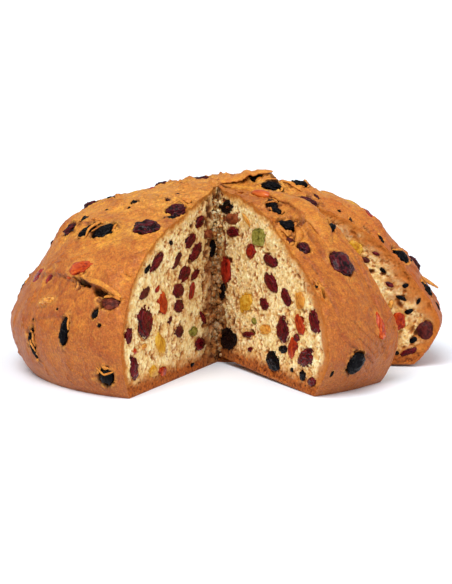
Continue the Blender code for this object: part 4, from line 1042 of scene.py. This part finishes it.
def fruit_mesh(f):
    large = f.half[0] > (6.2 if f.proud is None else 7.0) and f.seed < 400
    u, faces = BALLS[4 if large else 3 if f.half[0] > (3.0 if f.seed < 400 else 3.8) else 2]
    offset = np.array([f.seed * 3.17, f.seed * 1.31, f.seed * 0.77])
    dried = f.kind in ("raisin", "raisin_burnt", "raisin_brown", "hollow")
    broad, angular = noise(u * 1.25 + offset, 71), noise(u * 2.4 + offset, 78)
    if dried:
        bent = u * np.array([1.3, 2.6, 2.6]) + offset + 0.5 * noise(u * 2.2 + offset, 72)[:, None]
        crease = np.clip(1 - 2.6 * np.abs(noise(bent, 73)), 0, 1)
        fine = np.clip(1 - 2.6 * np.abs(noise(bent * 2.2, 74)), 0, 1)
        swell = 1.06 + 0.20 * broad + 0.13 * angular - (0.17 * crease + 0.08 * fine) * (0.55 if f.proud is not None or (f.kind == "raisin" and f.half[0] > 6.5) else 1)
        # painted shade in the creases and a painted highlight on the swollen parts
        tone = (0.62 - 0.55 * crease if f.proud is None else 0.70 - 0.45 * crease) - 0.25 * fine + 0.25 * broad
        local = u * swell[:, None] * f.half
    elif f.kind == "nut":
        swell = 1 + 0.03 * broad
        # lighter towards one side: a painted highlight
        tone = 0.5 + 0.4 * broad + 0.5 * u[:, 1]
        local = u * swell[:, None] * f.half
        local[:, 1] *= 1 - 0.35 * u[:, 0]
    else:
        square = np.sign(u) * np.abs(u) ** 0.88
        swell = 1 + 0.22 * broad + 0.12 * angular
        tone = 0.52 + 0.6 * broad + 0.7 * noise(u * 3.2 + offset, 76) + 0.5 * noise(u * 7.0 + offset, 79)
        local = square * swell[:, None] * f.half
        if f.kind == "peel":  # cut in wedges
            local[:, 1] *= 1.0 - 0.5 * u[:, 0]
    if f.proud is not None:  # cut level by the knife, with its own grain
        top = local[:, 2] > 0
        grain = 0.20 if dried else 0.12
        dome = local[:, 2] / f.half[2]
        full = min(1, f.half[1] / 3)
        rise = -0.55 + (0.85 + (0.95 if dried else 0.45) * full) * np.clip(dome, 0, 1) ** 0.6 + grain * noise(local / 1.1 + offset, 77)
        if dried:
            rise = rise - 0.34 * crease * full
        # a sunk, near-black patch that paints the shade in a cavity
        if f.kind == "hollow":
            q = np.hypot(local[:, 0] / f.half[0], local[:, 1] / f.half[1])
            rise = rise - 1.5 * (1 - ramp(q, 0.3, 0.85)) * min(1.0, f.half[2] / 1.6)
        local[:, 2] = np.where(top, rise, local[:, 2])
    dark, body, light = FRUIT_COLOURS[f.kind]
    if f.kind == "raisin" and f.proud is None:  # darker in the crust
        dark, body, light = srgb(18, 2, 6), srgb(76, 14, 22), srgb(138, 44, 46)
    if f.seed == list(CRUST_FRUIT).index("raisin_hollow"):  # paler, as it is sheltered
        dark, body, light = srgb(64, 20, 14), srgb(122, 52, 34), srgb(170, 94, 66)
    colour = mix(mix(dark, body, ramp(tone, 0.0, 0.5)), light, ramp(tone, 0.55, 1.1) * 0.8)
    return f.centre + local @ f.frame.T, faces, colour


def shred(host, width, thick, points, seed):
    """A curled shred of crust: a flat closed tube along points on the bread."""
    line = np.array(points, float)
    ends = surface(line[:, 0], line[:, 1])
    count = int(np.clip(np.linalg.norm(np.diff(ends, axis=0), axis=1).sum() / 0.9, 24, 100))
    around = int(np.clip(width * 5, 10, 36))
    steps = np.linspace(0, len(points) - 1, count)
    azimuth, level, high = (np.interp(steps, range(len(points)), line[:, k]) for k in range(3))
    for _ in range(count // 8):
        for x in (azimuth, level, high):
            x[1:-1] = (x[:-2] + 2 * x[1:-1] + x[2:]) / 4
    _, _, _, out = crust_frame(azimuth, level)
    p, o, move, *_ = crust_relief(host, azimuth, level)
    centre = p + o * np.minimum(move, move.mean() + 0.6)[:, None] + out * high[:, None]
    run = np.gradient(centre, axis=0)
    run /= np.linalg.norm(run, axis=1, keepdims=True)
    side = np.cross(out, run)
    side /= np.linalg.norm(side, axis=1, keepdims=True)
    normal = np.cross(run, side)
    share = np.linspace(0, 1, count)
    taper = np.clip(np.sin(np.pi * share), 0, 1) ** 0.45
    angle = np.arange(around) * 2 * np.pi / around
    edge = 1 + 0.45 * noise(np.stack([share * width * 1.6 + seed, share * 0, share * 0], -1), 81)
    ring_w, ring_t = width * taper * edge + 0.04, thick * taper ** 0.6 + 0.04
    x = np.cos(angle)[None, :] * ring_w[:, None]
    y = np.sin(angle)[None, :] * ring_t[:, None] - 0.35 * thick * (x / width) ** 2
    rings = centre[:, None, :] + side[:, None, :] * x[..., None] + normal[:, None, :] * y[..., None]
    rings = rings + 0.22 * min(thick, 1) * np.stack([noise(rings / 1.3 + k * 7, 82) for k in range(3)], -1) * taper[:, None, None]
    index = np.arange(count * around).reshape(count, around)
    follow = np.roll(index, -1, axis=1)
    quads = np.stack([index[:-1], index[1:], follow[1:], follow[:-1]], -1).reshape(-1, 4)[:, ::-1]
    tone = 0.5 + 0.6 * fbm(rings / 3, 3, 83)
    tints = mix(mix(PALE, GOLD, ramp(tone, 0.2, 0.7)), RED, 0.5 * ramp(tone, 0.55, 0.95))
    tints = mix(tints, BROWN, 0.5 * (np.abs(np.cos(angle))[None, :] > 0.93))
    tints = mix(tints, TAN if host == "slice" else GOLD, np.full(tints.shape[:-1], 0.42 if host == "slice" else 0.30))
    return rings.reshape(-1, 3), [quads.tolist(), [index[0].tolist()], [index[-1][::-1].tolist()]], tints.reshape(-1, 3)


# --------------------------------------------------------------- materials
def surface_material(name, roughness, speck=0.0, speck_size=0.0006, bump=0.0, bump_size=0.0008, coat=0.0, soft=0.0, soft_reach=0.001, rough_spread=0.0, shine=0.35, dull=False):
    """The vertex tint, a fine speckle and a fine bump from noise."""
    made = bpy.data.materials.new(name)
    made.use_nodes = True
    tree = made.node_tree
    shader = tree.nodes["Principled BSDF"]
    tint = tree.nodes.new("ShaderNodeAttribute")
    tint.attribute_name = "tint"
    where = tree.nodes.new("ShaderNodeTexCoord")

    def noise_node(size, detail):
        node = tree.nodes.new("ShaderNodeTexNoise")
        node.inputs["Scale"].default_value = 1 / size
        node.inputs["Detail"].default_value = detail
        tree.links.new(where.outputs["Object"], node.inputs["Vector"])
        return node

    colour = tint.outputs["Color"]
    if speck:
        grain = noise_node(speck_size, 3)
        scale = tree.nodes.new("ShaderNodeMapRange")
        scale.inputs["From Min"].default_value, scale.inputs["From Max"].default_value = 0.25, 0.75
        scale.inputs["To Min"].default_value, scale.inputs["To Max"].default_value = 1 - speck, 1 + speck
        tree.links.new(grain.outputs["Fac"], scale.inputs["Value"])
        times = tree.nodes.new("ShaderNodeVectorMath")
        times.operation = "SCALE"
        tree.links.new(colour, times.inputs[0])
        tree.links.new(scale.outputs["Result"], times.inputs["Scale"])
        colour = times.outputs["Vector"]
    tree.links.new(colour, shader.inputs["Base Color"])
    if rough_spread:
        broad = noise_node(0.006, 2)
        spread = tree.nodes.new("ShaderNodeMapRange")
        spread.inputs["To Min"].default_value, spread.inputs["To Max"].default_value = roughness - rough_spread, roughness + rough_spread
        tree.links.new(broad.outputs["Fac"], spread.inputs["Value"])
        tree.links.new(spread.outputs["Result"], shader.inputs["Roughness"])
    else:
        shader.inputs["Roughness"].default_value = roughness
    if bump:
        relief = noise_node(bump_size, 3)
        node = tree.nodes.new("ShaderNodeBump")
        node.inputs["Strength"].default_value = bump
        node.inputs["Distance"].default_value = bump_size
        tree.links.new(relief.outputs["Fac"], node.inputs["Height"])
        tree.links.new(node.outputs["Normal"], shader.inputs["Normal"])
    shader.inputs["Specular IOR Level"].default_value = shine
    if dull:  # scorched, dark places shine less
        grey = tree.nodes.new("ShaderNodeRGBToBW")
        fall = tree.nodes.new("ShaderNodeMapRange")
        fall.inputs["From Min"].default_value, fall.inputs["From Max"].default_value = 0.01, 0.10
        fall.inputs["To Min"].default_value, fall.inputs["To Max"].default_value = 0.03, shine
        tree.links.new(tint.outputs["Color"], grey.inputs["Color"])
        tree.links.new(grey.outputs["Val"], fall.inputs["Value"])
        tree.links.new(fall.outputs["Result"], shader.inputs["Specular IOR Level"])
    shader.inputs["Coat Weight"].default_value = coat
    shader.inputs["Coat Roughness"].default_value = 0.25
    shader.inputs["Subsurface Weight"].default_value = soft
    shader.inputs["Subsurface Scale"].default_value = soft_reach
    shader.inputs["Subsurface Radius"].default_value = (1.0, 0.5, 0.25)
    return made


crust_look = surface_material("crust_look", 0.46, speck=0.38, speck_size=0.0008, bump=0.55, bump_size=0.0009, coat=0.0, soft=0.06, soft_reach=0.001, rough_spread=0.09, shine=0.28, dull=True)
crumb_look = surface_material("crumb_look", 0.85, speck=0.12, speck_size=0.0006, bump=0.5, bump_size=0.0006, soft=0.22, soft_reach=0.0010, shine=0.15)
LOOKS = {
    "raisin": surface_material("raisin_look", 0.20, speck=0.25, speck_size=0.0009, bump=0.3, bump_size=0.0009, shine=0.13),
    "raisin_burnt": surface_material("raisin_burnt_look", 0.20, speck=0.25, speck_size=0.0008, bump=0.35, bump_size=0.0009, shine=0.07),
    "raisin_brown": surface_material("raisin_brown_look", 0.40, speck=0.2, speck_size=0.0009, bump=0.4, bump_size=0.0006, shine=0.15),
    "candied_orange": surface_material("candied_orange_look", 0.26, speck=0.12, speck_size=0.0012, bump=0.2, bump_size=0.001, shine=0.17, soft=0.35, soft_reach=0.002),
    "candied_yellow": surface_material("candied_yellow_look", 0.26, speck=0.10, speck_size=0.0012, bump=0.2, bump_size=0.001, shine=0.24, soft=0.35, soft_reach=0.002),
    "candied_red": surface_material("candied_red_look", 0.26, speck=0.12, speck_size=0.0012, bump=0.2, bump_size=0.001, shine=0.24, soft=0.25, soft_reach=0.002),
    "candied_green": surface_material("candied_green_look", 0.26, speck=0.10, speck_size=0.0012, bump=0.2, bump_size=0.001, shine=0.24, soft=0.35, soft_reach=0.002),
    "nut": surface_material("nut_look", 0.24, speck=0.08, speck_size=0.001, bump=0.1, bump_size=0.001, coat=0.25, shine=0.25),
}

# ---------------------------------------------------------------- the pieces
# Fruit that stands out more than the rest of its kind: the share of it that does
PROUD = {
    "raisin_edge_right": 0.85, "raisin_large": 0.90, "slice_raisin_large": 0.82, "raisin_split_upper": 0.92,
    "raisin_split_lower": 0.88, "raisin_notch_top": 0.72, "raisin_crown": 0.86, "raisin_flap": 0.80,
    "raisin_blister": 0.90, "raisin_pair": 0.74, "slice_raisin_round": 1.0, "slice_raisin_pocket": 0.80,
    "slice_raisin_red": 0.80, "raisin_corner": 0.60, "raisin_low_left": 0.66, "peel_left": 0.34, "slice_peel": 0.50, "slice_nut": 1.45,
}
for host in ("loaf", "slice"):
    own = [f for f in fruits if f.where == host]
    spots = np.array([f.spot for f in own])
    p, out, move, *_ = crust_relief(host, spots[:, 0], spots[:, 1])
    for f, at in zip(own, p + out * move[:, None]):
        share = {"raisin": 0.50, "raisin_brown": 0.46, "raisin_burnt": 0.52, "nut": 1.0}.get(f.kind, 0.26)
        if f.seed < len(CRUST_FRUIT):
            share = PROUD.get(list(CRUST_FRUIT)[f.seed], share)
        f.centre = at - f.frame[:, 2] * (1 - share) * f.half[2]

loaf_azimuths = np.concatenate([np.linspace(-278, -250, 46)[:-1], np.linspace(-250, -112, 112)[:-1], np.linspace(-112, -24, 256)])
points, faces, tints, edges = crust_body("loaf", loaf_azimuths, np.linspace(0.0018, 1, 212), 0.3)
loaf = make_object("loaf_crust", points, faces, tints, crust_look)
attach(loaf, "root")
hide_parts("loaf")
loaf_edges = {"C": edges[0], "L": edges[len(loaf_azimuths) - 1]}

slice_azimuths = np.linspace(28, 57, 118)
points, faces, tints, edges = crust_body("slice", slice_azimuths, np.linspace(0.0072, 1, 300), SLICE_TIP)
piece = make_object("slice_crust", points, faces, tints, crust_look)
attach(piece, "root")
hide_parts("slice")
slice_edges = {"R": edges[0], "B": edges[len(slice_azimuths) - 1]}

rng = np.random.default_rng(77)
shreds = [(host, width, thick, points) for host, width, thick, points in SHREDS]
for f in fruits:  # ragged lips round the larger dark fruit
    if f.seed == list(CRUST_FRUIT).index("slice_raisin_round"):
        continue
    if f.where in ("loaf", "slice") and f.kind in ("raisin_burnt", "raisin_brown") and f.half[0] > 3.2:
        azimuth, level = f.spot
        reach = np.hypot(*(f.centre[:2] - AXIS))
        _, along, up, _ = crust_frame(np.array(azimuth), np.array(level))
        for _ in range(3):
            start, span = rng.uniform(0, 2 * np.pi), rng.uniform(0.7, 1.5)
            points = []
            for k, high in enumerate((0.1, 0.5, 0.6, 0.1)):
                a = start + span * k / 3
                grown = 1.02 - 0.10 * (k in (1, 2))
                away = f.frame[:, 0] * f.half[0] * grown * np.cos(a) + f.frame[:, 1] * f.half[1] * grown * np.sin(a)
                points.append((azimuth + np.degrees(away @ along / reach), level - away @ up / 160, high * rng.uniform(0.7, 1.4)))
            if all(abs(turn_between(q[0], LOAF_RIGHT)) > 1 and abs(turn_between(q[0], NOTCH_LEFT)) > 1 for q in points):
                shreds.append((f.where, rng.uniform(0.5, 0.95), rng.uniform(0.3, 0.45), points))
for host in ("loaf", "slice"):
    points, faces, tints, count = [], [], [], 0
    for n, (where, width, thick, path) in enumerate(shreds):
        if where != host or (host == "slice" and not all(NOTCH_RIGHT + 0.4 < q[0] < SLICE_RIGHT - 0.4 for q in path)):
            continue
        p, groups, c = shred(where, width, thick, path, n)
        points.append(p)
        tints.append(c)
        faces += [[[i + count for i in face] for face in group] for group in groups]
        count += len(p)
    piece = make_object(f"{host}_shreds", np.concatenate(points), faces, np.concatenate(tints), crust_look, sharp=0)
    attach(piece, "root")
    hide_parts(host)

for cut, cell, seed in (("L", 0.41, 101), ("R", 0.41, 131), ("C", 0.50, 161), ("B", 0.62, 191)):
    points, faces, tints = crumb_slab(cut, {**loaf_edges, **slice_edges}[cut], cell, seed)
    piece = make_object(f"crumb_{cut}", points, faces, tints, crumb_look, sharp=0)
    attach(piece, "root")
    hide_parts(CUTS[cut][2])

dice = np.random.default_rng(311)
points, faces, tints, count = [], [], [], 0
for n in range(230):
    cut = "L" if dice.uniform() < 0.5 else "R"
    outward, up, normal = cut_frame(cut)
    size = dice.uniform(0.55, 1.75)
    ball, ball_faces = BALLS[2 if size > 1.0 else 1]
    height = dice.uniform(3.0, 86.0)
    reach = dice.uniform(0.4, 6.5) * (0.5 + 0.5 * dice.uniform())
    centre = np.array([*AXIS, 0]) + outward * reach + up * height + normal * dice.uniform(-0.6, 0.25) * size
    offset = dice.uniform(0, 90, 3)
    swell = 1 + 0.55 * noise(ball * 1.5 + offset, 95) + 0.35 * noise(ball * 3.6 + offset, 96)
    p = centre + ball * swell[:, None] * size * dice.uniform(0.65, 1.3, 3)
    p[:, 2] = np.maximum(p[:, 2], 0.4)
    tone = 0.5 + 0.8 * noise(p / 1.1 + offset, 97) + dice.uniform(-0.35, 0.45)
    tint = mix(mix(CREAM, OLD, ramp(tone, 0.0, 0.6)), PORE, ramp(tone, 0.5, 0.9))
    tint = mix(tint, DEEP, ramp(tone, 0.85, 1.15))
    # painted shade: the loose crumbs in the notch corner are darker lower down
    low_corner_shade = 0.15 + 0.5 * (1 - ramp(height, 50, 80))
    points.append(p)
    faces.append(ball_faces + count)
    tints.append(mix(tint, srgb(146, 84, 40), np.full(len(p), low_corner_shade)))
    count += len(p)
piece = make_object("corner_crumbs", np.concatenate(points), faces, np.concatenate(tints), crumb_look, sharp=0)
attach(piece, "root")
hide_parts("loaf")

SAME_PIECE = {"hollow": "raisin_burnt", "brown": "raisin_brown", "candied_amber": "candied_yellow", "peel": "candied_orange", "cherry": "candied_red"}
for kind, look in LOOKS.items():
    points, faces, tints, count = [], [], [], 0
    for f in fruits:
        if SAME_PIECE.get(f.kind, f.kind) != kind:
            continue
        p, t, c = fruit_mesh(f)
        points.append(p)
        faces.append(t + count)
        tints.append(c)
        count += len(p)
    piece = make_object(f"fruit_{kind}", np.concatenate(points), faces, np.concatenate(tints), look, sharp=0)
    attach(piece, "root")
    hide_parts(*[name for name, own in owners.items() if own == kind])

# ------------------------------------------------------- floor, light, camera
mesh = bpy.data.meshes.new("floor")
mesh.from_pydata([(-12, -6, 0), (12, -6, 0), (12, 30, 0), (-12, 30, 0)], [], [(0, 1, 2, 3)])
floor = bpy.data.objects.new("floor", mesh)
bpy.context.scene.collection.objects.link(floor)
pale = bpy.data.materials.new("pale_floor")
pale.use_nodes = True
pale.node_tree.nodes["Principled BSDF"].inputs["Base Color"].default_value = (0.88, 0.93, 1.0, 1)
pale.node_tree.nodes["Principled BSDF"].inputs["Roughness"].default_value = 0.9
mesh.materials.append(pale)

world = bpy.data.worlds.new("studio")
world.use_nodes = True
world.node_tree.nodes["Background"].inputs["Color"].default_value = (1.0, 1.0, 1.0, 1)
world.node_tree.nodes["Background"].inputs["Strength"].default_value = 0.52
bpy.context.scene.world = world
bpy.context.scene.view_settings.view_transform = "Standard"


def sun(name, towards, spread, power):
    light = bpy.data.lights.new(name, "SUN")
    light.energy, light.angle = power, radians(spread)
    obj = bpy.data.objects.new(name, light)
    obj.rotation_mode = "QUATERNION"
    obj.rotation_quaternion = (-Vector(towards)).to_track_quat("-Z", "Y")
    bpy.context.scene.collection.objects.link(obj)


sun("key", (-0.24, -0.68, 1.0), 38, 2.65)
sun("fill", (0.70, -0.72, 0.65), 60, 0.88)

target = Vector((-0.00075, -0.00645, 0.0384))
tilt = radians(9.0)
back = Vector((0, -cos(tilt), sin(tilt)))
camera = bpy.data.cameras.new("camera")
camera.sensor_width = 36
camera.lens = 1.1 / 0.0005245 / 584 * 36
camera.clip_start, camera.clip_end = 0.05, 100
eye = bpy.data.objects.new("camera", camera)
eye.rotation_mode = "QUATERNION"
eye.location = target + back * 1.1
eye.rotation_quaternion = (-back).to_track_quat("-Z", "Y")
bpy.context.scene.collection.objects.link(eye)
bpy.context.scene.camera = eye
